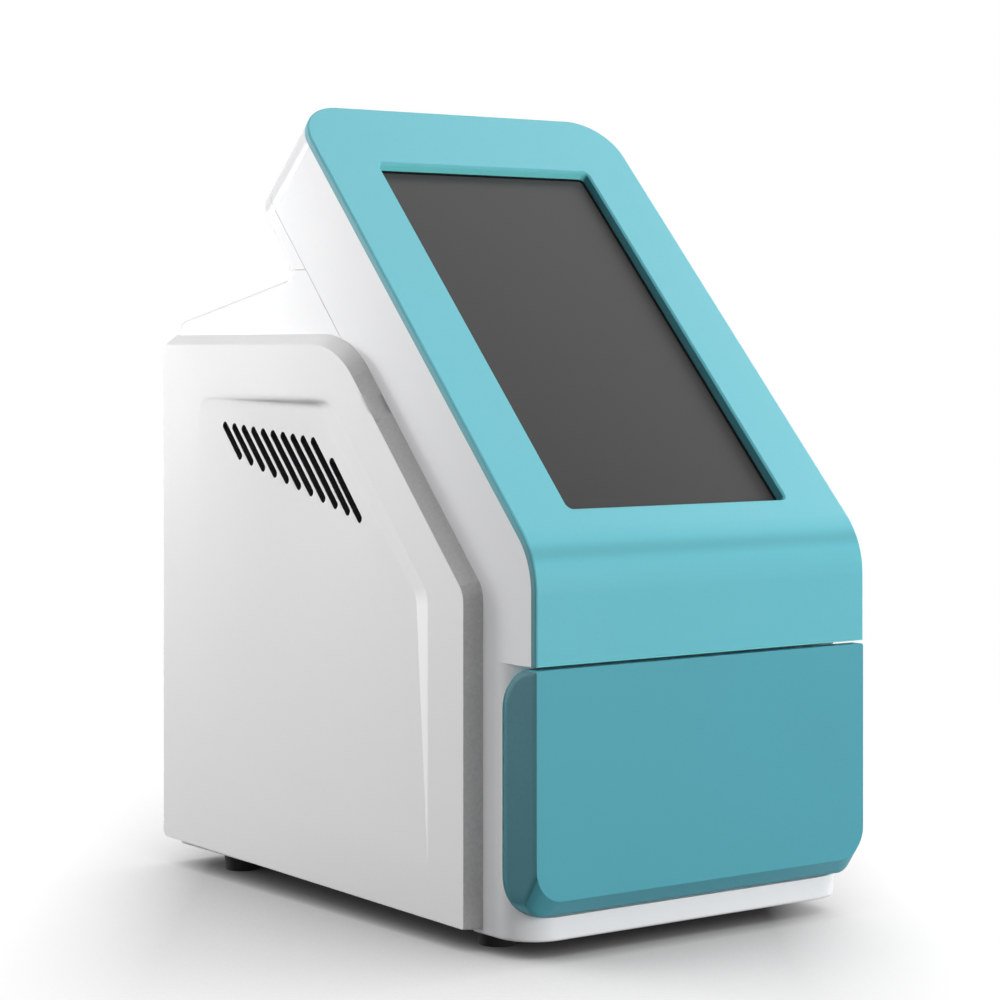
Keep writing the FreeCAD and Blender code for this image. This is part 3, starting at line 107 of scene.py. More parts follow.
class Wire:
    """A number in a shader tree that Python's operators combine through Math nodes."""

    __add__ = __radd__ = combining("ADD")
    __sub__ = combining("SUBTRACT")
    __rsub__ = combining("SUBTRACT", swap=True)
    __mul__ = __rmul__ = combining("MULTIPLY")
    __truediv__ = combining("DIVIDE")
    __pow__ = combining("POWER")

    def __init__(self, tree: "ShaderTree", socket: bpy.types.NodeSocket) -> None:
        """Wraps an output socket of the tree."""
        self.tree = tree
        self.socket = socket

    def math(
        self, operation: str, *others: "Wire | float", swap: bool = False, clamp: bool = False
    ) -> "Wire":
        """Adds a Math node.

        Args:
            operation: The node's operation.
            others: The further operands.
            swap: Whether this wire is the second operand.
            clamp: Whether the result is kept from 0 to 1.

        Returns:
            The node's result.
        """
        values = [self, *others]
        if swap:
            values.reverse()
        settings = {"operation": operation, "use_clamp": clamp}
        made = self.tree.node("ShaderNodeMath", settings, dict(enumerate(values)))
        return Wire(self.tree, made.outputs[0])

    def __abs__(self) -> "Wire":
        """This without its sign."""
        return self.math("ABSOLUTE")

    def clamped(self) -> "Wire":
        """This kept from 0 to 1."""
        return self.math("ADD", 0.0, clamp=True)

    def above(self, edge: float, width: float) -> "Wire":
        """A ramp from 0 to 1 that is width wide and centred where this equals edge."""
        return ((self - edge) / width + 0.5).clamped()


class ShaderTree:
    """The node tree of a material or of the world."""

    def __init__(self, owner: bpy.types.ID, output: str = "ShaderNodeOutputMaterial") -> None:
        """Empties the owner's tree and gives it its output."""
        owner.use_nodes = True
        self.owner = owner
        self.graph = owner.node_tree
        self.graph.nodes.clear()
        self.output = self.graph.nodes.new(output)
        self.shader: bpy.types.Node | None = None

    def show(self, shader: bpy.types.Node) -> None:
        """Links a shader to the output and keeps it."""
        self.shader = shader
        self.graph.links.new(shader.outputs[0], self.output.inputs[0])

    def feed(self, socket: bpy.types.NodeSocket, value: Any) -> None:
        """Links a wire or socket to an input, or sets a value on it.

        Args:
            socket: The input.
            value: A Wire, an output socket, a number, or a colour or vector.
        """
        if isinstance(value, Wire):
            self.graph.links.new(value.socket, socket)
        elif isinstance(value, bpy.types.NodeSocket):
            self.graph.links.new(value, socket)
        elif socket.type == "RGBA" and len(value) == 3:
            socket.default_value = (*value, 1.0)
        else:
            socket.default_value = value

    def node(
        self, kind: str, settings: dict[str, Any] | None = None, inputs: dict[Any, Any] | None = None
    ) -> bpy.types.Node:
        """Adds a node.

        Args:
            kind: The node's type.
            settings: Its properties, set first.
            inputs: Values or links of its sockets, by name or number.

        Returns:
            The node.
        """
        made = self.graph.nodes.new(kind)
        for name, value in (settings or {}).items():
            setattr(made, name, value)
        for key, value in (inputs or {}).items():
            self.feed(made.inputs[key], value)
        return made

    def point(self) -> bpy.types.NodeSocket:
        """The place on the piece, in metres."""
        return self.node("ShaderNodeTexCoord").outputs["Object"]

    def parts(self, vector: bpy.types.NodeSocket) -> tuple[Wire, Wire, Wire]:
        """The x, y and z of a vector."""
        made = self.node("ShaderNodeSeparateXYZ", inputs={0: vector})
        return Wire(self, made.outputs[0]), Wire(self, made.outputs[1]), Wire(self, made.outputs[2])

    def stretched(self, vector: bpy.types.NodeSocket, scale: Sequence[float]) -> bpy.types.NodeSocket:
        """The vector with each part times its share of scale."""
        made = self.node("ShaderNodeMapping", {"vector_type": "POINT"}, {"Vector": vector, "Scale": scale})
        return made.outputs[0]

    def noise(
        self, vector: bpy.types.NodeSocket, cell: float, detail: float = 2.0, rough: float = 0.5
    ) -> Wire:
        """Soft noise from 0 to 1.

        Args:
            vector: The place.
            cell: The size of one patch in metres.
            detail: How many finer layers it has.
            rough: How strong the finer layers are.

        Returns:
            The noise.
        """
        made = self.node(
            "ShaderNodeTexNoise",
            {"noise_dimensions": "3D"},
            {"Vector": vector, "Scale": 1 / cell, "Detail": detail, "Roughness": rough},
        )
        return Wire(self, made.outputs[0])

    def cells(self, vector: bpy.types.NodeSocket, cell: float, feature: str = "F1") -> Wire:
        """Distance to the nearest point of a cell pattern, with cells of that size in metres."""
        made = self.node("ShaderNodeTexVoronoi", {"feature": feature}, {"Vector": vector, "Scale": 1 / cell})
        return Wire(self, made.outputs["Distance"])

    def mix(self, factor: "Wire | float", low: Any, high: Any) -> bpy.types.NodeSocket:
        """The colour from low at factor 0 to high at factor 1."""
        made = self.node("ShaderNodeMix", {"data_type": "RGBA"})
        for index, value in ((0, factor), (6, low), (7, high)):
            self.feed(made.inputs[index], value)
        return made.outputs[2]

    def tints(self, factor: "Wire | float", tone: Colour, low: float, high: float) -> bpy.types.NodeSocket:
        """The tone, from its low share at factor 0 to its high share at factor 1."""
        return self.mix(factor, scaled(tone, low), scaled(tone, high))

    def turned(self, factor: "Wire | float", low: Any, high: Any) -> bpy.types.NodeSocket:
        """The vector from low at factor 0 to high at factor 1."""
        made = self.node("ShaderNodeMix", {"data_type": "VECTOR"})
        for index, value in ((0, factor), (4, low), (5, high)):
            self.feed(made.inputs[index], value)
        return made.outputs[1]

    def normal(self) -> tuple[Wire, Wire, Wire]:
        """The x, y and z of the true normal."""
        return self.parts(self.node("ShaderNodeNewGeometry").outputs["Normal"])

    def rounded(self, radius: float) -> bpy.types.NodeSocket:
        """The normal with the edges rounded off by that radius in metres."""
        return self.node("ShaderNodeBevel", {"samples": 4}, {"Radius": radius}).outputs[0]

    def edges(self, normal: bpy.types.NodeSocket) -> Wire:
        """A mask that is 1 where a rounded normal leaves the true one, along the edges."""
        true = self.node("ShaderNodeNewGeometry").outputs["Normal"]
        made = self.node("ShaderNodeVectorMath", {"operation": "DOT_PRODUCT"}, {0: normal, 1: true})
        return ((1 - Wire(self, made.outputs["Value"])) * 5).clamped()

    def bump(self, height: Wire, depth: float, normal: Any = None) -> bpy.types.NodeSocket:
        """A normal bent by a height.

        Args:
            height: The height from 0 to 1.
            depth: The real depth in metres between heights 0 and 1.
            normal: The normal that is bent.

        Returns:
            The bent normal.
        """
        inputs = {"Strength": 1.0, "Distance": depth, "Height": height}
        if normal is not None:
            inputs["Normal"] = normal
        return self.node("ShaderNodeBump", inputs=inputs).outputs[0]

    def blend(self, factor: "Wire | float", low: bpy.types.Node, high: bpy.types.Node) -> bpy.types.Node:
        """The shader from low at factor 0 to high at factor 1."""
        return self.node("ShaderNodeMixShader", inputs={0: factor, 1: low.outputs[0], 2: high.outputs[0]})

    def rays(self, *kinds: str) -> Wire:
        """A mask that is 1 for rays of any of these kinds."""
        path = self.node("ShaderNodeLightPath").outputs
        first, *others = (Wire(self, path[f"Is {kind} Ray"]) for kind in kinds)
        for other in others:
            first = first.math("MAXIMUM", other)
        return first

    def surface(self, **values: Any) -> None:
        """Sets or links the shader's inputs, named with _ for a space."""
        for name, value in values.items():
            self.feed(self.shader.inputs[name.replace("_", " ")], value)


@dataclass(frozen=True)
class Finish:
    """A finish of the analyzer, made as a material once."""

    name: str

    def material(self) -> bpy.types.Material:
        """The finish's material, made on first use."""
        found = bpy.data.materials.get(self.name)
        if found is not None:
            return found
        tree = ShaderTree(bpy.data.materials.new(self.name))
        tree.show(tree.node("ShaderNodeBsdfPrincipled"))
        self.paint(tree)
        return tree.owner

    def paint(self, tree: ShaderTree) -> None:
        """Builds the finish in the tree."""
        raise NotImplementedError


@dataclass(frozen=True)
class Moulding(Finish):
    """Moulded or painted plastic: spark eroded grain, faint mottling, polished edges and, where set, painted
    shade on the flanks.

    Attributes:
        tone: Its colour.
        rough: Its roughness.
        grain_cell: The size of one grain, in metres.
        grain_depth: The grain's depth.
        fleck_cells: The size of the flecks, in grains.
        cloud: The size of the broad patches, in metres.
        mottle: How much the colour varies.
        edge_radius: The radius of the edges, in metres.
        edge_gain: How much paler the edges are.
        edge_polish: How much smoother they are.
        rough_spread: How much the grain and the patches change the roughness.
        dark_share: The darkest colour, as a share of the tone.
        pale_share: The palest one.
        gloss: The level of its reflection.
        flank_shade_share: How pale the painted shade on the flanks is, beside the front.
        flank_turn: How far a face is turned to the side where it counts as a flank.
    """

    tone: Colour
    rough: float = 0.42
    grain_cell: float = 0.9 * MM
    grain_depth: float = 0.03 * MM
    fleck_cells: float = 2.6
    cloud: float = 70 * MM
    mottle: float = 0.03
    edge_radius: float = 0.5 * MM
    edge_gain: float = 0.10
    edge_polish: float = 0.06
    rough_spread: Spot = (0.16, 0.10)
    dark_share: float = 0.75
    pale_share: float = 1.25
    gloss: float = 0.5
    flank_shade_share: float = 1.0
    flank_turn: float = 0.8

    def smooth(self, tree: ShaderTree) -> bpy.types.NodeSocket:
        """The normal with rounded edges."""
        return tree.rounded(self.edge_radius)

    def tones(self, tree: ShaderTree, place: bpy.types.NodeSocket) -> Any:
        """The base colour before mottling, with painted shade on the flanks that face the side."""
        if self.flank_shade_share == 1.0:
            return self.tone
        # Painted shade: faces turned to the side are darkened by the flank share.
        return tree.mix(self.flank(tree), self.tone, scaled(self.tone, self.flank_shade_share))

    def flank(self, tree: ShaderTree) -> Wire:
        """A mask that is 1 on the faces turned to the side."""
        return abs(tree.normal()[0]).above(self.flank_turn, 0.1)

    def paint(self, tree: ShaderTree) -> None:
        """Builds the plastic in the tree."""
        place = tree.point()
        fine = tree.noise(place, self.grain_cell, 2.0, 0.6)
        flecks = tree.noise(place, self.grain_cell * self.fleck_cells, 1.0)
        broad = tree.noise(place, self.cloud, 3.0)
        smooth = self.smooth(tree)
        edge = tree.edges(smooth)
        shade = (broad - 0.5) * 2 * self.mottle + (flecks - 0.5) * self.mottle + edge * self.edge_gain
        dark = tree.mix((shade * -4).clamped(), self.tones(tree, place), scaled(self.tone, self.dark_share))
        by_grain, by_cloud = self.rough_spread
        spread = (fine - 0.5) * by_grain + (broad - 0.5) * by_cloud
        tree.surface(
            Base_Color=tree.mix((shade * 4).clamped(), dark, scaled(self.tone, self.pale_share)),
            Roughness=(self.rough + spread - edge * self.edge_polish).clamped(),
            Normal=tree.bump(fine + flecks * 0.6, self.grain_depth, smooth),
            Specular_IOR_Level=self.gloss,
        )


@dataclass(frozen=True)
class SidePlate(Moulding):
    """Raised side plate: a smooth outer face, a coarser grained bevel round it with painted shade where it
    faces the front, and painted shade on the slot walls.

    Attributes:
        bevel_shade_share: How pale the painted shade makes the bevel that faces the front, beside the outer
            face.
        slot_shade_share: How pale the painted shade makes the slots' walls.
        slots_y: The span of the slots along Y, in metres.
        slots_z: Their span along Z.
        brow_z: The height of the recess's upper edge.
        brow_half: Half the height of the strip in which that edge is soft.
        brow_back: Where that strip ends along Y.
        brow_radius: The edge's radius there.
        grain: The size of the bevel's grain.
    """

    bevel_shade_share: float = 0.58
    slot_shade_share: float = 0.05
    slots_y: Spot = (-45 * MM, 106 * MM)
    slots_z: Spot = (165 * MM, 243 * MM)
    brow_z: float = 250.0 * MM
    brow_half: float = 5.5 * MM
    brow_back: float = 128 * MM
    brow_radius: float = 5.0 * MM
    grain: float = 1.6 * MM

    def smooth(self, tree: ShaderTree) -> bpy.types.NodeSocket:
        """The normal with rounded edges, and a softer one along the recess's upper edge."""
        _, y, z = tree.parts(tree.point())
        brow = 1 - (abs(z - self.brow_z) / self.brow_half).above(0.8, 0.4)
        brow = brow * (1 - y.above(self.brow_back, 8 * MM))
        return tree.turned(brow, tree.rounded(self.edge_radius), tree.rounded(self.brow_radius))

    def tones(self, tree: ShaderTree, place: bpy.types.NodeSocket) -> Any:
        """The colour with painted shade on the grained bevel that faces the front and on the slots' walls."""
        across, along, _ = tree.normal()
        grain = tree.noise(place, self.grain, 3.0, 0.7)
        # Painted shade: the bevel that faces the front is darkened, with a coarse grain in it.
        low, high = self.bevel_shade_share * 0.9, self.bevel_shade_share * 1.1
        bevel = tree.tints(grain.above(0.5, 0.5), self.tone, low, high)
        face = tree.mix((along * -1).above(0.5, 0.3), self.tone, bevel)
        # Painted shade: the slots' walls are made nearly black.
        slot_shade_mask = 1 - abs(across).above(0.5, 0.2)
        for part, (low, high) in zip(tree.parts(place)[1:], (self.slots_y, self.slots_z)):
            slot_shade_mask = slot_shade_mask * part.above(low, 1 * MM) * (1 - part.above(high, 1 * MM))
        return tree.mix(slot_shade_mask, face, scaled(self.tone, self.slot_shade_share))


@dataclass(frozen=True)
class FrontSheet(Moulding):
    """The painted front sheet, with a painted soft shade line where it bends, painted shade on its flanks and
    painted light on the faces that look down.

    Attributes:
        bend_z: The line's height, in metres.
        bend_width: Half its width.
        bend_shade_share: How pale the painted shade line is, beside the sheet.
        flank_low: The span over which the painted shade on the flanks deepens below the bend.
        reveal_light_share: How pale the painted light makes the faces that look down, beside the sheet.
    """

    bend_z: float = 184.8 * MM
    bend_width: float = 5.5 * MM
    bend_shade_share: float = 0.82
    flank_low: float = 40 * MM
    reveal_light_share: float = 1.9

    def tones(self, tree: ShaderTree, place: bpy.types.NodeSocket) -> Any:
        """The colour with the painted shade line along the bend, painted shade on the flanks and painted
        light on the faces that look down.
        """
        height = tree.parts(place)[2]
        # Painted shade: a soft dark line along the bend.
        line = (1 - abs(height - self.bend_z) / self.bend_width).clamped()
        face = tree.mix(line * line * (3 - 2 * line), self.tone, scaled(self.tone, self.bend_shade_share))
        low = 1 - height.above(self.bend_z, self.flank_low)
        # Painted shade on the flanks, deepening below the bend.
        sides = tree.mix(self.flank(tree) * (low * 0.6 + 0.4), face, scaled(self.tone, self.flank_shade_share))
        # Painted light: the faces that look down are made paler.
        reveal = (tree.normal()[2] * -1).above(0.4, 0.2)
        return tree.mix(reveal, sides, scaled(self.tone, self.reveal_light_share))


@dataclass(frozen=True)
class DoorFront(Moulding):
    """The painted drawer front, whose side runs round the corner into the lip without a crease.

    Attributes:
        front_y: The place of its face along Y, in metres.
        crisp: The depth behind the face in which its edge stays crisp.
        sweep: The radius of the corner behind that.
    """

    front_y: float = -162.55 * MM
    crisp: float = 1.6 * MM
    sweep: float = 5.0 * MM

    def smooth(self, tree: ShaderTree) -> bpy.types.NodeSocket:
        """The normal with a crisp front edge and a soft sweep behind it."""
        behind = (tree.parts(tree.point())[1] - self.front_y).above(self.crisp, 1.0 * MM)
        return tree.turned(behind, tree.rounded(self.edge_radius), tree.rounded(self.sweep))


@dataclass(frozen=True)
class CoverGlass(Finish):
    """Dark cover glass of the touch screen, with a faint film of wipe marks and a painted sheen.

    Attributes:
        tone: Its colour.
        rough: Its roughness.
        low_z: The height of its lower end, in metres.
        high_z: That of its upper end.
        dark_share: Its colour at the lower left, where the painted sheen is faintest, as a share of the tone.
        pale_share: Its colour at the upper right, where the painted sheen is strongest.
        smear: The size of the wipe marks.
        relief: Their height.
        edge_radius: The radius of the edges.
        gloss: The level of its reflection.
    """

    tone: Colour
    rough: float = 0.34
    low_z: float = 200 * MM
    high_z: float = 372 * MM
    dark_share: float = 0.84
    pale_share: float = 1.26
    smear: float = 60 * MM
    relief: float = 0.004 * MM
    edge_radius: float = 0.3 * MM
    gloss: float = 0.06

    def paint(self, tree: ShaderTree) -> None:
        """Builds the glass in the tree, with a painted sheen that grows paler towards its upper right."""
        place = tree.point()
        x, _, z = tree.parts(place)
        wipe = tree.noise(tree.stretched(place, (1.0, 3.5, 3.5)), self.smear, 4.0, 0.6)
        rise = (z - self.low_z) / (self.high_z - self.low_z)
        # Painted sheen, paler upwards and to the right, with the wipe marks mixed in.
        sheen = rise * 0.5 + x * 3.0 + 0.28 + (wipe - 0.5) * 0.16
        tree.surface(
            Base_Color=tree.tints(sheen.clamped(), self.tone, self.dark_share, self.pale_share),
            Roughness=(self.rough + (wipe - 0.5) * 0.12).clamped(),
            Normal=tree.bump(wipe, self.relief, tree.rounded(self.edge_radius)),
            Specular_IOR_Level=self.gloss,
        )


@dataclass(frozen=True)
class InletPlastic(Moulding):
    """Black socket plastic round three bare metal pins.

    Attributes:
        low: The lowest corner of the box that holds the pins, in metres.
        high: Its highest corner.
        metal: The pins' colour.
    """

    low: Place = (-66.5 * MM, 144.8 * MM, 37.0 * MM)
    high: Place = (-49.5 * MM, 156.0 * MM, 47.0 * MM)
    metal: Colour = (0.62, 0.60, 0.56)

    def pins(self, tree: ShaderTree) -> Wire:
        """A mask that is 1 on the pins."""
        spans = zip(tree.parts(tree.point()), self.low, self.high)
        soft = 0.2 * MM
        inside = [part.above(low, soft) * (1 - part.above(high, soft)) for part, low, high in spans]
        return inside[0] * inside[1] * inside[2]

    def paint(self, tree: ShaderTree) -> None:
        """Builds the plastic and the pins in the tree."""
        super().paint(tree)
        bare = self.pins(tree)
        plastic = tree.shader.inputs["Base Color"].links[0].from_socket
        rough = tree.shader.inputs["Roughness"].links[0].from_socket
        tree.surface(
            Base_Color=tree.mix(bare, plastic, self.metal),
            Metallic=bare,
            Roughness=(Wire(tree, rough) * (1 - bare * 0.5)).clamped(),
        )


@dataclass(frozen=True)
class SheetMetal(Finish):
    """Bare or plated sheet metal with a rolling grain and plating patches.

    Attributes:
        tone: Its colour.
        rough: Its roughness.
        metallic: How metallic it is.
        along: The axis along which the grain runs.
        streak: The width of one streak, in metres.
        stretch: A streak's width beside its length.
        patch: The size of the patches.
        relief: The height of the streaks.
        dark_share: The darkest colour, as a share of the tone.
        pale_share: The palest one.
        edge_radius: The radius of the edges.
    """

    tone: Colour
    rough: float = 0.38
    metallic: float = 1.0
    along: Axis = Axis.Y
    streak: float = 0.35 * MM
    stretch: float = 0.03
    patch: float = 9 * MM
    relief: float = 0.006 * MM
    dark_share: float = 0.72
    pale_share: float = 1.28
    edge_radius: float = 0.3 * MM

    def paint(self, tree: ShaderTree) -> None:
        """Builds the metal in the tree."""
        place = tree.point()
        scale = [1.0, 1.0, 1.0]
        scale[self.along.value] = self.stretch
        streaks = tree.noise(tree.stretched(place, scale), self.streak, 2.0)
        patches = tree.cells(place, self.patch, "SMOOTH_F1")
        smooth = tree.rounded(self.edge_radius)
        edge = tree.edges(smooth)
        shade = (streaks - 0.5) * 0.3 + (patches - 0.35) * 0.35 + edge * 0.3 + 0.5
        tree.surface(
            Base_Color=tree.tints(shade.clamped(), self.tone, self.dark_share, self.pale_share),
            Metallic=self.metallic,
            Roughness=(self.rough + (streaks - 0.5) * 0.2 + (patches - 0.3) * 0.14 - edge * 0.1).clamped(),
            Normal=tree.bump(streaks, self.relief, smooth),
        )


@dataclass(frozen=True)
class Rubber(Finish):
    """Matt rubber with talc dust on its faces: its tone, roughness, grain, dust, edge and gloss."""

    tone: Colour
    rough: float = 0.72
    grain: float = 0.5 * MM
    dust_patch: float = 6 * MM
    dust_share: float = 3.0
    edge_radius: float = 0.4 * MM
    gloss: float = 0.12

    def paint(self, tree: ShaderTree) -> None:
        """Builds the rubber in the tree."""
        place = tree.point()
        grain = tree.noise(place, self.grain, 3.0)
        dust = tree.noise(place, self.dust_patch, 4.0).above(0.62, 0.2)
        tree.surface(
            Base_Color=tree.tints(dust * 0.3, self.tone, 1.0, self.dust_share),
            Roughness=(self.rough + (grain - 0.5) * 0.2 + dust * 0.1).clamped(),
            Normal=tree.bump(grain, self.grain / 10, tree.rounded(self.edge_radius)),
            Specular_IOR_Level=self.gloss,
        )


@dataclass(frozen=True)
class Foam(Finish):
    """Open cell filter foam: its tone, roughness, pores, with how pale these are, and gloss."""

    tone: Colour
    rough: float = 0.9
    pore_share: float = 0.2
    pore: float = 1.1 * MM
    pore_depth: float = 0.5 * MM
    gloss: float = 0.1

    def paint(self, tree: ShaderTree) -> None:
        """Builds the foam in the tree."""
        place = tree.point()
        pores = tree.cells(place, self.pore)
        tree.surface(
            Base_Color=tree.tints(pores.above(0.45, 0.5), self.tone, self.pore_share, 1.0),
            Roughness=(self.rough + (pores - 0.5) * 0.1).clamped(),
            Normal=tree.bump(pores, self.pore_depth),
            Specular_IOR_Level=self.gloss,
        )


@dataclass(frozen=True)
class CircuitBoard(Finish):
    """Green solder mask over copper tracks, with tinned pads.

    Attributes:
        tone: The mask's colour.
        tin: The pads' colour.
        rough: The roughness over the tracks.
        lane: The width of a track, in metres.
        pad_pitch: The step from pad to pad.
        relief: The height of tracks and pads.
        track_share: How pale the mask is over a track.
    """

    tone: Colour
    tin: Colour = (0.62, 0.6, 0.5)
    rough: float = 0.32
    lane: float = 2.2 * MM
    pad_pitch: float = 2.6 * MM
    relief: float = 0.03 * MM
    track_share: float = 1.9

    def paint(self, tree: ShaderTree) -> None:
        """Builds the board in the tree."""
        place = tree.point()
        lanes = tree.noise(tree.stretched(place, (0.12, 1.0, 1.0)), self.lane, 0.0)
        track = 1 - (abs(lanes - 0.5) * 9).above(0.35, 0.2)
        pads = 1 - tree.cells(place, self.pad_pitch).above(0.22, 0.06)
        mask = tree.tints(track * 0.55, self.tone, 1.0, self.track_share)
        tree.surface(
            Base_Color=tree.mix(pads * 0.9, mask, self.tin),
            Metallic=pads * 0.8,
            Roughness=(self.rough + (1 - track) * 0.06 + pads * 0.1).clamped(),
            Normal=tree.bump(track + pads, self.relief),
        )


class Palette:
    """The analyzer's finishes."""

    HOUSING = Moulding(
        "housing_white",
        linear(240, 240, 240),
        rough=0.46,
        grain_cell=1.1 * MM,
        grain_depth=0.05 * MM,
        gloss=0.3,
    )
    PLATE = SidePlate(
        "side_plate_white",
        linear(250, 250, 250),
        rough=0.44,
        grain_cell=1.0 * MM,
        grain_depth=0.022 * MM,
    )
    # The front sheet and the drawer front carry painted shade on their flanks.
    SHEET = FrontSheet(
        "front_sheet_teal",
        linear(104, 190, 203),
        rough=0.42,
        grain_cell=0.7 * MM,
        grain_depth=0.008 * MM,
        gloss=0.22,
        flank_shade_share=0.45,
        flank_turn=0.9,
    )
    DOOR = DoorFront(
        "drawer_front_teal",
        linear(85, 166, 181),
        rough=0.46,
        grain_cell=0.7 * MM,
        grain_depth=0.008 * MM,
        gloss=0.18,
        flank_shade_share=0.47,
        flank_turn=0.9,
    )
    GLASS = CoverGlass("cover_glass", linear(66, 65, 65))
    # A black ring of painted shade, in the gap round the screen's glass.
    SHADE_RING = Rubber("screen_shade_ring_black", linear(8, 8, 9))
    BLACK = Moulding("black_plastic", linear(26, 26, 27), rough=0.5, edge_gain=0.04)
    INLET = InletPlastic("inlet_plastic", linear(26, 26, 27), rough=0.5, edge_gain=0.04)
    MARK = Moulding("mark_white", linear(222, 222, 220), rough=0.5, edge_radius=0.05 * MM)
    CHIP = Moulding("chip_resin", linear(30, 31, 33), 0.55, grain_cell=0.3 * MM, edge_radius=0.1 * MM)
    RUBBER = Rubber("foot_rubber", linear(4, 4, 4))
    FOAM = Foam("filter_foam", linear(6, 6, 6))
    ZINC = SheetMetal("zinc_sheet", linear(186, 188, 190))
    STEEL = SheetMetal("turned_steel", linear(168, 168, 170), 0.3, along=Axis.Z, patch=30 * MM)
    ALUMINIUM = SheetMetal("machined_aluminium", linear(200, 202, 205), 0.33, along=Axis.X, patch=40 * MM)
    BLACKENED = SheetMetal("black_anodised", linear(30, 30, 32), 0.45, metallic=0.6, patch=30 * MM)
    PANEL = Moulding("rear_panel_paint", linear(212, 213, 214), 0.5, grain_cell=0.8 * MM)
    TRAY = Moulding("tray_grey", linear(168, 172, 176), rough=0.5)
    DISC = Moulding("turntable_grey", linear(92, 96, 101), rough=0.45)
    NYLON = Moulding("bare_nylon", linear(224, 222, 212), rough=0.4, grain_depth=0.006 * MM)
    BRASS = SheetMetal("brass", linear(196, 164, 98), rough=0.3, along=Axis.Z, patch=20 * MM)
    BOARD = CircuitBoard("circuit_board", linear(24, 98, 58))


def dress(finish: Finish, *names: str) -> None:
    """Gives CAD nodes a finish.

    Args:
        finish: The finish.
        names: The nodes.
    """
    for name in names:
        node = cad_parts[name]
        if not node.material_slots:
            node.data.materials.append(None)
        for slot in node.material_slots:
            slot.material = finish.material()
        LOG.info("%s: %s", name, finish.name)


@dataclass
class Lamp:
    """One soft box.

    Attributes:
        name: Its name.
        azimuth: Its direction from the object, in degrees from +X towards +Y.
        elevation: Its height above the horizon, in degrees.
        watts: Its power.
        width: The side of its square face, in metres.
        reach: Its distance from the aim, in metres.
        aim: The point that it faces, in metres.
    """

    name: str
    azimuth: float
    elevation: float
    watts: float
    width: float = 0.9
    reach: float = 2.2
    aim: Place = (0.0, 0.0, 0.2)

    def build(self) -> None:
        """Makes the lamp."""
        data = bpy.data.lights.new(self.name, "AREA")
        data.shape = "SQUARE"
        data.size = self.width
        data.energy = self.watts
        lamp = bpy.data.objects.new(self.name, data)
        bpy.context.scene.collection.objects.link(lamp)
        turn, rise = math.radians(self.azimuth), math.radians(self.elevation)
        away = Vector((math.cos(rise) * math.cos(turn), math.cos(rise) * math.sin(turn), math.sin(rise)))
        lamp.location = Vector(self.aim) + away * self.reach
        way = Vector(self.aim) - lamp.location
        lamp.rotation_euler = way.to_track_quat("-Z", "Y").to_euler()


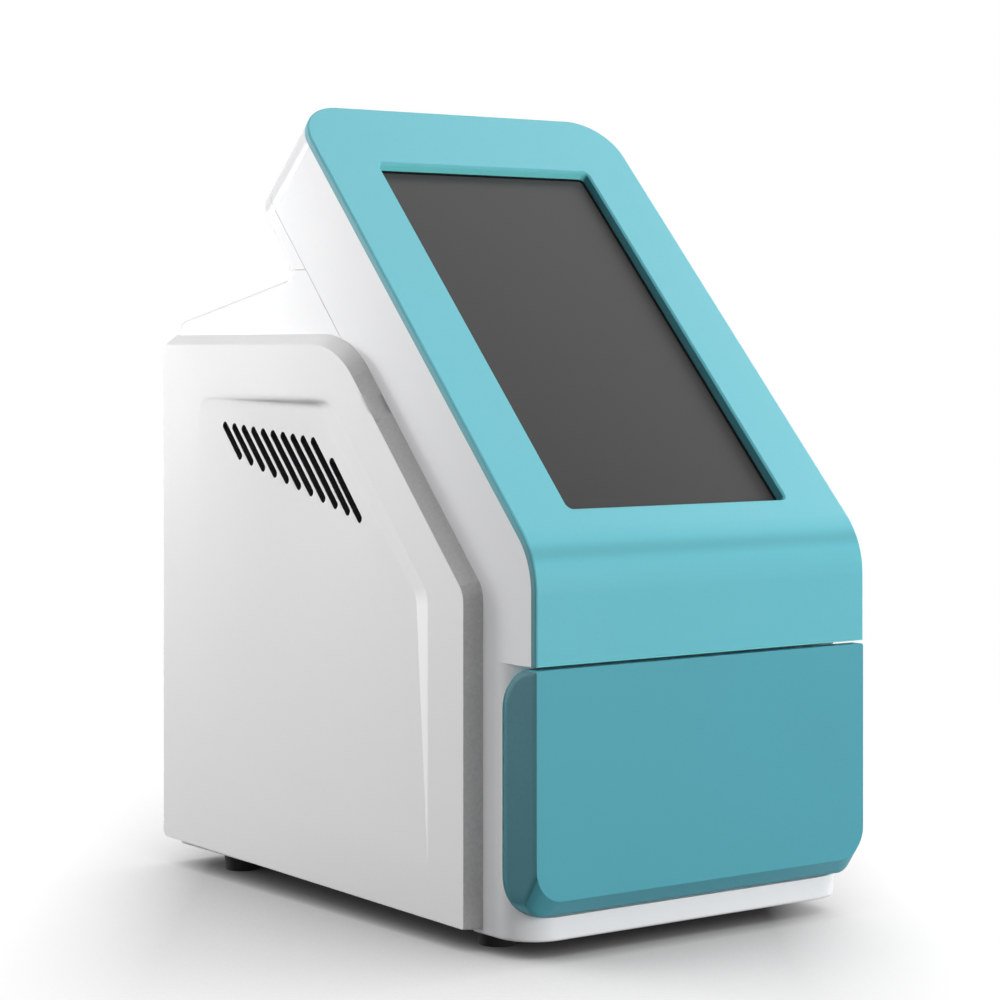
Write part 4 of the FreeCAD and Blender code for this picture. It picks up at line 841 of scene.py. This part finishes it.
@dataclass
class Studio:
    """Camera, floor, sky and soft boxes.

    Attributes:
        eye: The camera's place.
        turn: The camera's turn about the upright axis, in degrees.
        lens: The focal length, in millimetres on a 36 mm sensor.
        shift: The upward shift of the picture, in frame widths.
        floor_side: The side of the floor.
        sky: The strength of the sky where neither the camera nor a reflection sees it.
        shade_reach: How far the painted soft contact shadow spreads, in metres.
        shade_power: How dark it gets.
        shade_share: How much of the floor's look it makes, beside the lamps' shadows.
        shade_ends: Where it ends to the right and the left of the camera's middle, in metres.
        shade_edge: The width of those ends.
        lit_tone: The floor's grey under the lamps, where the camera sees it.
        dull_tone: Its grey for the light that it throws back.
        fade_start: Where the floor is halfway to white, in metres from the middle.
        fade_width: The width of that change.
    """

    eye: Place = (-0.8444, -1.1496, 0.2776)
    turn: float = -36.27
    lens: float = 99.85
    shift: float = -0.1535
    floor_side: float = 12.0
    sky: float = 0.05
    shade_reach: float = 0.3
    shade_power: float = 1.35
    shade_share: float = 0.9
    shade_ends: Spot = (0.17, 0.195)
    shade_edge: float = 0.08
    lit_tone: float = 1.4
    dull_tone: float = 0.34
    fade_start: float = 0.75
    fade_width: float = 0.9
    lamps: list[Lamp] = field(default_factory=lambda: [
        Lamp("key_high", 113, 25, 33.0, reach=4.0),
        Lamp("key_low", 113, 3, 47.0, reach=4.0),
        Lamp("left_top", 150, 30, 16.5),
        Lamp("front", 285, 9, 28.0, 1.1),
        Lamp("front_top", 275, 52, 12.0),
        Lamp("top", 0, 62, 7.5),
        Lamp("right_top", 0, 35, 11.0),
        Lamp("right", 2, 8, 18.0),
    ])

    def build(self) -> None:
        """Makes the whole studio."""
        self.camera()
        self.world()
        self.floor()
        for lamp in self.lamps:
            lamp.build()
        bpy.context.scene.view_settings.view_transform = "Standard"

    def camera(self) -> None:
        """Makes the camera at the photograph's angle."""
        data = bpy.data.cameras.new("camera")
        data.sensor_width = 36.0
        data.lens = self.lens
        data.shift_y = self.shift
        data.clip_start = 0.05
        camera = bpy.data.objects.new("camera", data)
        bpy.context.scene.collection.objects.link(camera)
        camera.location = self.eye
        camera.rotation_euler = (math.radians(90), 0.0, math.radians(self.turn))
        bpy.context.scene.camera = camera

    def world(self) -> None:
        """Makes a dim sky that the camera and reflections see as white."""
        tree = ShaderTree(bpy.data.worlds.new("sky"), "ShaderNodeOutputWorld")
        bpy.context.scene.world = tree.owner
        dim, white = (
            tree.node("ShaderNodeBackground", inputs={"Color": WHITE, "Strength": strength})
            for strength in (self.sky, 1.0)
        )
        tree.show(tree.blend(tree.rays("Camera", "Transmission", "Glossy"), dim, white))

    def floor(self) -> None:
        """Makes a pale floor that keeps the lamps' shadows, adds a painted soft contact shadow and fades into
        the white sky.
        """
        select_only()
        bpy.ops.mesh.primitive_plane_add(size=self.floor_side, location=(0.0, 0.0, 0.0))
        floor = bpy.context.object
        floor.name = "floor"
        tree = ShaderTree(bpy.data.materials.new("floor_white"))
        place = tree.point()
        x, y, _ = tree.parts(place)
        away = (x * x + y * y) ** 0.5
        fade = away.above(self.fade_start, self.fade_width)
        lit, dull = (
            tree.node("ShaderNodeBsdfDiffuse", inputs={"Color": (tone,) * 3})
            for tone in (self.lit_tone, self.dull_tone)
        )
        # Painted shadow: ambient occlusion darkens an emission colour round the base, fading out to the
        # sides.
        near = tree.node("ShaderNodeAmbientOcclusion", {"samples": 12}, {"Distance": self.shade_reach})
        open_sky = Wire(tree, near.outputs["AO"]) ** self.shade_power
        turn = math.radians(self.turn)
        across = x * math.cos(turn) + y * math.sin(turn)
        right, left = self.shade_ends
        beside = (across.above(right, self.shade_edge) + (across * -1).above(left, self.shade_edge)).clamped()
        dark = tree.mix(open_sky, (0.0, 0.0, 0.0), WHITE)
        soft, glow = (
            tree.node("ShaderNodeEmission", inputs={"Color": colour, "Strength": 1.0})
            for colour in (tree.mix(beside, dark, WHITE), WHITE)
        )
        shaded = tree.blend(self.shade_share, lit, soft)
        tree.show(tree.blend(tree.rays("Camera", "Glossy"), dull, tree.blend(fade, shaded, glow)))
        floor.data.materials.append(tree.owner)


def select_only(*pieces: bpy.types.Object) -> None:
    """Leaves object mode with only these pieces selected, the first of them active."""
    if bpy.context.object is not None and bpy.context.object.mode != "OBJECT":
        bpy.ops.object.mode_set(mode="OBJECT")
    bpy.ops.object.select_all(action="DESELECT")
    for piece in pieces:
        piece.select_set(True)
    if pieces:
        bpy.context.view_layer.objects.active = pieces[0]


def start_plane(name: str, width: float, height: float) -> bpy.types.Object:
    """Adds a flat face at the origin and opens it for editing, all selected.

    Args:
        name: The piece's name.
        width: Its size along X, in metres.
        height: Its size along Y.

    Returns:
        The piece.
    """
    select_only()
    bpy.ops.mesh.primitive_plane_add(size=1.0, location=(0.0, 0.0, 0.0))
    piece = bpy.context.object
    piece.name = name
    piece.scale = (width, height, 1.0)
    bpy.ops.object.transform_apply(location=False, rotation=False, scale=True)
    bpy.ops.object.mode_set(mode="EDIT")
    bpy.ops.mesh.select_all(action="SELECT")
    return piece


def close_mesh() -> None:
    """Merges doubles, turns the faces outwards and leaves edit mode."""
    bpy.ops.mesh.select_all(action="SELECT")
    bpy.ops.mesh.remove_doubles(threshold=WELD)
    bpy.ops.mesh.normals_make_consistent(inside=False)
    bpy.ops.object.mode_set(mode="OBJECT")


def raise_rim(width: float, height: float) -> None:
    """Leaves a rim of that width of the face open for editing, raises it and closes the mesh."""
    bpy.ops.mesh.select_all(action="SELECT")
    bpy.ops.mesh.inset(thickness=width, depth=0.0)
    bpy.ops.mesh.delete(type="FACE")
    bpy.ops.mesh.select_all(action="SELECT")
    bpy.ops.mesh.extrude_region_move(TRANSFORM_OT_translate={"value": (0.0, 0.0, height)})
    close_mesh()


def modify(piece: bpy.types.Object, kind: str, **settings: Any) -> None:
    """Adds a modifier with these settings to a piece and applies it."""
    modifier = piece.modifiers.new(kind.lower(), kind)
    for name, value in settings.items():
        setattr(modifier, name, value)
    select_only(piece)
    bpy.ops.object.modifier_apply(modifier=modifier.name)


def soften(piece: bpy.types.Object, radius: float, segments: int) -> None:
    """Rounds a piece's sharp edges.

    Args:
        piece: The piece.
        radius: The radius in metres.
        segments: The steps of each rounding.
    """
    modify(piece, "BEVEL", width=radius, segments=segments, limit_method="ANGLE")


def settle(piece: bpy.types.Object, finish: Finish, body: Body) -> None:
    """Bakes a piece's place into its mesh, smooths and dresses it, and lets it ride.

    Args:
        piece: The piece.
        finish: Its finish.
        body: The body that it rides on.
    """
    select_only(piece)
    bpy.ops.object.transform_apply(location=True, rotation=True, scale=True)
    bpy.ops.object.shade_smooth_by_angle(angle=SMOOTH_ANGLE)
    piece.data.materials.clear()
    piece.data.materials.append(finish.material())
    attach(piece, body.value)
    LOG.info("%s: %s, %d faces", piece.name, finish.name, len(piece.data.polygons))


def start_rod(name: str, radius: float, height: float, place: Vector, sides: int = 32) -> bpy.types.Object:
    """Adds an upright cylinder with its foot at a place.

    Args:
        name: The piece's name.
        radius: Its radius in metres.
        height: Its height.
        place: The middle of its foot.
        sides: The sides of its outline.

    Returns:
        The piece, in object mode.
    """
    select_only()
    bpy.ops.mesh.primitive_cylinder_add(
        vertices=sides, radius=radius, depth=height, location=place + Vector((0.0, 0.0, height / 2))
    )
    piece = bpy.context.object
    piece.name = name
    bpy.ops.object.transform_apply(location=True, rotation=True, scale=True)
    return piece


def start_block(name: str, size: Sequence[float], place: Vector) -> bpy.types.Object:
    """Adds a block by extruding its foot.

    Args:
        name: The piece's name.
        size: Its sizes along X, Y and Z, in metres.
        place: The middle of its foot.

    Returns:
        The piece, in object mode.
    """
    piece = start_plane(name, size[0], size[1])
    bpy.ops.mesh.extrude_region_move(TRANSFORM_OT_translate={"value": (0.0, 0.0, size[2])})
    close_mesh()
    piece.location = place
    bpy.ops.object.transform_apply(location=True, rotation=False, scale=False)
    return piece


def carve(piece: bpy.types.Object, cutter: bpy.types.Object) -> None:
    """Cuts one piece out of another and removes it."""
    modify(piece, "BOOLEAN", operation="DIFFERENCE", object=cutter)
    bpy.data.objects.remove(cutter)


def joined(pieces: Sequence[bpy.types.Object], name: str) -> bpy.types.Object:
    """Joins pieces into one of that name."""
    select_only(*pieces)
    bpy.ops.object.join()
    pieces[0].name = name
    return pieces[0]


def copied(piece: bpy.types.Object, place: Vector) -> bpy.types.Object:
    """A copy of a piece, with its own mesh, moved by place."""
    select_only(piece)
    bpy.ops.object.duplicate(linked=False)
    copy = bpy.context.object
    copy.location = copy.location + place
    return copy


@dataclass
class ScrewSet:
    """Four cross recessed screws that stand for a CAD node's plain ones.

    Attributes:
        node: The CAD node.
        out: The axis that the heads face along.
        side: Whether they face up or down that axis, as 1 or -1.
        head_radius: The heads' radius, in metres.
        head_height: Their height.
        shank_radius: The shanks' radius.
        slot_size: The cross slots' length and width, in head radii.
        slot_floor: The share of the head's height that is left under the cross.
        slot_turn: The cross's turn, in degrees.
    """

    node: str
    out: Axis
    side: int
    head_radius: float = 2.8 * MM
    head_height: float = 1.8 * MM
    shank_radius: float = 1.4 * MM
    slot_size: Spot = (1.15, 0.26)
    slot_floor: float = 0.42
    slot_turn: float = 20.0

    def build(self) -> None:
        """Makes the screws at the corners of the CAD node's box."""
        low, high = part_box(self.node)
        along = self.out.value
        across = [axis for axis in range(3) if axis != along]
        top = high[along] if self.side > 0 else low[along]
        foot = top - self.side * self.head_height
        first = self.screw(f"{self.node}_crossed", high[along] - low[along] - self.head_height)
        first.rotation_euler = (math.radians(-90 if self.out is Axis.Y else 180), 0.0, 0.0)
        pieces = []
        for a in (low[across[0]] + self.head_radius, high[across[0]] - self.head_radius):
            for b in (low[across[1]] + self.head_radius, high[across[1]] - self.head_radius):
                place = Vector((0.0, 0.0, 0.0))
                place[along], place[across[0]], place[across[1]] = foot, a, b
                pieces.append(copied(first, place))
        bpy.data.objects.remove(first)
        piece = joined(pieces, f"{self.node}_crossed")
        settle(piece, Palette.STEEL, Body.BASE)
        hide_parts(self.node)

    def screw(self, name: str, shank: float) -> bpy.types.Object:
        """One screw with its head up and its seat at the origin.

        Args:
            name: Its name.
            shank: The shank's length, in metres.

        Returns:
            The screw.
        """
        head = start_rod(name, self.head_radius, self.head_height, Vector())
        soften(head, 0.55 * MM, 3)
        for turn in (0, 90):
            length, width = (self.head_radius * share for share in self.slot_size)
            floor = Vector((0.0, 0.0, self.head_height * self.slot_floor))
            cutter = start_block("cross", (length, width, self.head_height), floor)
            cutter.rotation_euler = (0.0, 0.0, math.radians(turn + self.slot_turn))
            carve(head, cutter)
        body = start_rod("shank", self.shank_radius, shank, Vector((0.0, 0.0, -shank)), 20)
        soften(body, 0.25 * MM, 2)
        return joined([head, body], name)


class Shell:
    """The white outer shell with its feet."""

    def build(self) -> None:
        """Dresses the shell's pieces."""
        dress(Palette.HOUSING, "front_housing", "main_cover", "head_back_cover")
        dress(Palette.PLATE, "side_panel_left", "side_panel_right")
        dress(Palette.FOAM, "vent_filter_left", "vent_filter_right")
        dress(Palette.ZINC, "chassis_base")
        dress(Palette.RUBBER, "foot_front_left", "foot_front_right", "foot_rear_left", "foot_rear_right")
        ScrewSet("base_screws", Axis.Z, -1).build()


@dataclass
class Front:
    """The teal front sheet with the touch screen.

    Attributes:
        lean: The slope's angle above the floor, in degrees.
        foot: The lowest point of the slope's face, in metres.
        opening: The opening's width and height.
        start: How far up the slope the opening starts.
        corner: The radius of its corners.
        recess: How far the glass lies behind the face.
        shade_ring_width: The width of the black ring of painted shade on the glass.
        shade_ring_height: Its height above the glass.
    """

    lean: float = 46.7
    foot: Place = (0.0, -162.55 * MM, 183.0 * MM)
    opening: Spot = (133.6 * MM, 229.2 * MM)
    start: float = 28.2 * MM
    corner: float = 3.0 * MM
    recess: float = 6.0 * MM
    shade_ring_width: float = 1.1 * MM
    shade_ring_height: float = 0.7 * MM

    def build(self) -> None:
        """Makes and dresses the front's pieces."""
        dress(Palette.SHEET, "fascia")
        dress(Palette.GLASS, "screen_glass")
        dress(Palette.BLACK, "display_module")
        dress(Palette.ZINC, "display_bracket")
        self.shade_ring()

    def shade_ring(self) -> None:
        """Makes a black ring of painted shade, standing for the dark gap between the glass and the opening's
        walls.
        """
        width, height = self.opening
        piece = start_plane("screen_shade_ring", width - 0.1 * MM, height - 0.1 * MM)
        bpy.ops.mesh.bevel(offset=self.corner, segments=5, affect="VERTICES")
        raise_rim(self.shade_ring_width, self.shade_ring_height)
        soften(piece, 0.2 * MM, 2)
        lean = math.radians(self.lean)
        middle = self.start + height / 2
        up = Vector((0.0, math.cos(lean), math.sin(lean)))
        out = Vector((0.0, -math.sin(lean), math.cos(lean)))
        place = Vector(self.foot) + up * middle - out * self.recess
        piece.matrix_world = Matrix.Translation(place) @ Matrix.Rotation(lean, 4, "X")
        settle(piece, Palette.SHADE_RING, Body.BASE)


class Drawer:
    """The motor driven drawer with its runners."""

    def build(self) -> None:
        """Dresses the drawer's pieces."""
        dress(Palette.DOOR, "drawer_front")
        dress(Palette.TRAY, "drawer_tray")
        dress(Palette.STEEL, "spindle_motor", "drive_motor")
        dress(Palette.DISC, "turntable")
        dress(Palette.ALUMINIUM, "turntable_hub")
        for part in ("outer", "middle", "inner", "hanger"):
            dress(Palette.ZINC, f"runner_{part}_left", f"runner_{part}_right")
        dress(Palette.NYLON, "drive_rack", "drive_pinion")
        dress(Palette.ZINC, "motor_bracket")


@dataclass
class Inside:
    """Photometer, boards and power supply, with the main board's components.

    Attributes:
        board_thick: The board's thickness, in metres.
        can_radius: The radius of the board's capacitors.
        can_height: Their height.
        can_places: Where they stand, along X and Y.
        packages: The middle, width and length of each flat package.
        sink_place: The middle of the heat sink on the processor.
        sink_foot: Its foot above the board.
        sink_side: Its side.
        sink_plate: Its plate's thickness.
        fin_count: Its fins.
        fin_size: A fin's thickness and height.
        package_height: The height of the flat packages.
        package_lift: Their height above the board.
        leg_pitch: The step from leg to leg.
        leg_size: The sizes of a leg.
        score: The width of the score on a can's top.
    """

    board_thick: float = 1.6 * MM
    can_radius: float = 4.0 * MM
    can_height: float = 9.0 * MM
    can_places: tuple[Spot, ...] = ((76 * MM, 58 * MM), (76 * MM, 68 * MM), (76 * MM, 78 * MM))
    packages: tuple[tuple[float, float, float, float], ...] = (
        (24 * MM, 56 * MM, 8 * MM, 12 * MM),
        (24 * MM, 112 * MM, 8 * MM, 12 * MM),
        (68 * MM, 112 * MM, 12 * MM, 12 * MM),
    )
    sink_place: Spot = (45 * MM, 77.45 * MM)
    sink_foot: float = 2.2 * MM
    sink_side: float = 18.0 * MM
    sink_plate: float = 2.0 * MM
    fin_count: int = 6
    fin_size: Spot = (1.2 * MM, 7.0 * MM)
    package_height: float = 1.5 * MM
    package_lift: float = 0.2 * MM
    leg_pitch: float = 1.27 * MM
    leg_size: Place = (1.0 * MM, 0.45 * MM, 0.5 * MM)
    score: float = 0.25 * MM

    def build(self) -> None:
        """Dresses the inner pieces and fits the board."""
        dress(Palette.ZINC, "optics_bridge", "power_supply")
        dress(Palette.BLACKENED, "optical_block")
        dress(Palette.ALUMINIUM, "lamp_module")
        dress(Palette.BOARD, "main_board")
        dress(Palette.BRASS, "board_standoffs")
        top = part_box("board_standoffs")[1].z + self.board_thick
        self.cans(top)
        self.flat_packages(top)
        self.heat_sink(top)

    def cans(self, top: float) -> None:
        """Makes the capacitors, with a scored vent on each can."""
        pieces = []
        for x, y in self.can_places:
            can = start_rod("can", self.can_radius, self.can_height, Vector((x, y, top)))
            soften(can, 0.5 * MM, 3)
            for turn in (45, 135):
                size = (self.can_radius * 1.3, self.score, 0.6 * MM)
                cutter = start_block("score", size, Vector())
                cutter.rotation_euler = (0.0, 0.0, math.radians(turn))
                cutter.location = (x, y, top + self.can_height - self.score)
                carve(can, cutter)
            pieces.append(can)
        settle(joined(pieces, "board_capacitors"), Palette.ALUMINIUM, Body.BASE)

    def flat_packages(self, top: float) -> None:
        """Makes the flat packages with their bent legs."""
        bodies, legs = [], []
        for x, y, width, length in self.packages:
            size = (width, length, self.package_height)
            body = start_block("package", size, Vector((x, y, top + self.package_lift)))
            soften(body, 0.15 * MM, 2)
            bodies.append(body)
            count = int(length / self.leg_pitch) - 1
            for side in (-1, 1):
                for index in range(count):
                    step = (index - (count - 1) / 2) * self.leg_pitch
                    foot = Vector((x + side * (width + self.leg_size[0]) / 2, y + step, top))
                    legs.append(start_block("leg", self.leg_size, foot))
        settle(joined(bodies, "board_packages"), Palette.CHIP, Body.BASE)
        settle(joined(legs, "board_package_legs"), Palette.STEEL, Body.BASE)

    def heat_sink(self, top: float) -> None:
        """Makes the finned heat sink on the processor."""
        x, y = self.sink_place
        side = self.sink_side
        thick, height = self.fin_size
        foot = top + self.sink_foot
        pieces = [start_block("plate", (side, side, self.sink_plate), Vector((x, y, foot)))]
        first, step = x - (side - thick) / 2, (side - thick) / (self.fin_count - 1)
        for index in range(self.fin_count):
            place = Vector((first + index * step, y, foot + self.sink_plate - 0.1 * MM))
            pieces.append(start_block("fin", (thick, side, height), place))
        sink = joined(pieces, "processor_heat_sink")
        soften(sink, 0.2 * MM, 2)
        settle(sink, Palette.BLACKENED, Body.BASE)


@dataclass
class Back:
    """Rear panel with its sockets, switch and fan.

    Attributes:
        mark_height: The height of the marks on the rocker, in metres.
        mark_stroke: The width of their strokes.
        mark_rise: Their height above the rocker's faces.
        tongue_size: The sizes of the tongue in each USB port.
        tongue_inset: How far the tongue's end lies behind the port's face.
        port_step: The step between the two ports.
    """

    mark_height: float = 4.4 * MM
    mark_stroke: float = 0.8 * MM
    mark_rise: float = 0.1 * MM
    tongue_size: Place = (11.0 * MM, 12.2 * MM, 1.9 * MM)
    tongue_inset: float = 3.0 * MM
    port_step: float = 19.0 * MM

    def build(self) -> None:
        """Dresses the back's pieces and makes the marks and tongues."""
        dress(Palette.PANEL, "rear_panel")
        dress(Palette.INLET, "power_inlet")
        dress(Palette.BLACK, "switch_housing", "power_rocker", "fan_frame", "fan_rotor")
        dress(Palette.ZINC, "usb_ports", "lan_port", "fan_guard")
        ScrewSet("rear_screws", Axis.Y, 1).build()
        for side, mark in ((-1, self.ring_mark()), (1, self.bar_mark())):
            place, out = self.rocker_face(side)
            up = Vector((0.0, 0.0, 1.0))
            turn = Matrix((up.cross(out), up, out)).transposed().to_4x4()
            mark.matrix_world = Matrix.Translation(place) @ turn
            settle(mark, Palette.MARK, Body.ROCKER)
        self.tongues()

    def rocker_face(self, side: int) -> tuple[Vector, Vector]:
        """The middle and the normal of one of the rocker's two faces.

        Args:
            side: Which one, -1 or 1 along X from the key's middle.

        Returns:
            The area's middle and its unit normal.
        """
        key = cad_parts["power_rocker"]
        low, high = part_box("power_rocker")
        middle = (low.x + high.x) / 2
        turn = key.matrix_world.to_3x3()
        mesh = key.data.polygons
        faces = [(key.matrix_world @ face.center, turn @ face.normal, face.area) for face in mesh]
        faces = [face for face in faces if face[1].y > 0.85 and (face[0].x - middle) * side > 0]
        first, second = sorted(faces, key=lambda face: face[2])[-2:]
        return (first[0] + second[0]) / 2, (first[1] + second[1]).normalized()

    def bar_mark(self) -> bpy.types.Object:
        """The bar for on."""
        return start_block("rocker_mark_on", (self.mark_stroke, self.mark_height, self.mark_rise), Vector())

    def ring_mark(self) -> bpy.types.Object:
        """The ring for off."""
        select_only()
        bpy.ops.mesh.primitive_circle_add(vertices=36, radius=self.mark_height / 2, fill_type="NGON")
        ring = bpy.context.object
        ring.name = "rocker_mark_off"
        bpy.ops.object.mode_set(mode="EDIT")
        raise_rim(self.mark_stroke, self.mark_rise)
        return ring

    def tongues(self) -> None:
        """Makes the insulating tongue in each USB port."""
        low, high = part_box("usb_ports")
        width, length, thick = self.tongue_size
        first = (low.x + high.x - self.port_step) / 2
        y = high.y - self.tongue_inset - length / 2
        pieces = []
        for index in range(2):
            foot = Vector((first + index * self.port_step, y, (low.z + high.z) / 2))
            tongue = start_block("tongue", (width, length, thick), foot)
            soften(tongue, 0.3 * MM, 2)
            pieces.append(tongue)
        settle(joined(pieces, "usb_tongues"), Palette.MARK, Body.BASE)


def main() -> None:
    """Builds the analyzer's looks."""
    logging.basicConfig(level=logging.INFO, format="%(name)s %(message)s")
    for assembly in (Studio(), Shell(), Front(), Drawer(), Inside(), Back()):
        assembly.build()


if __name__ == "__main__":
    main()
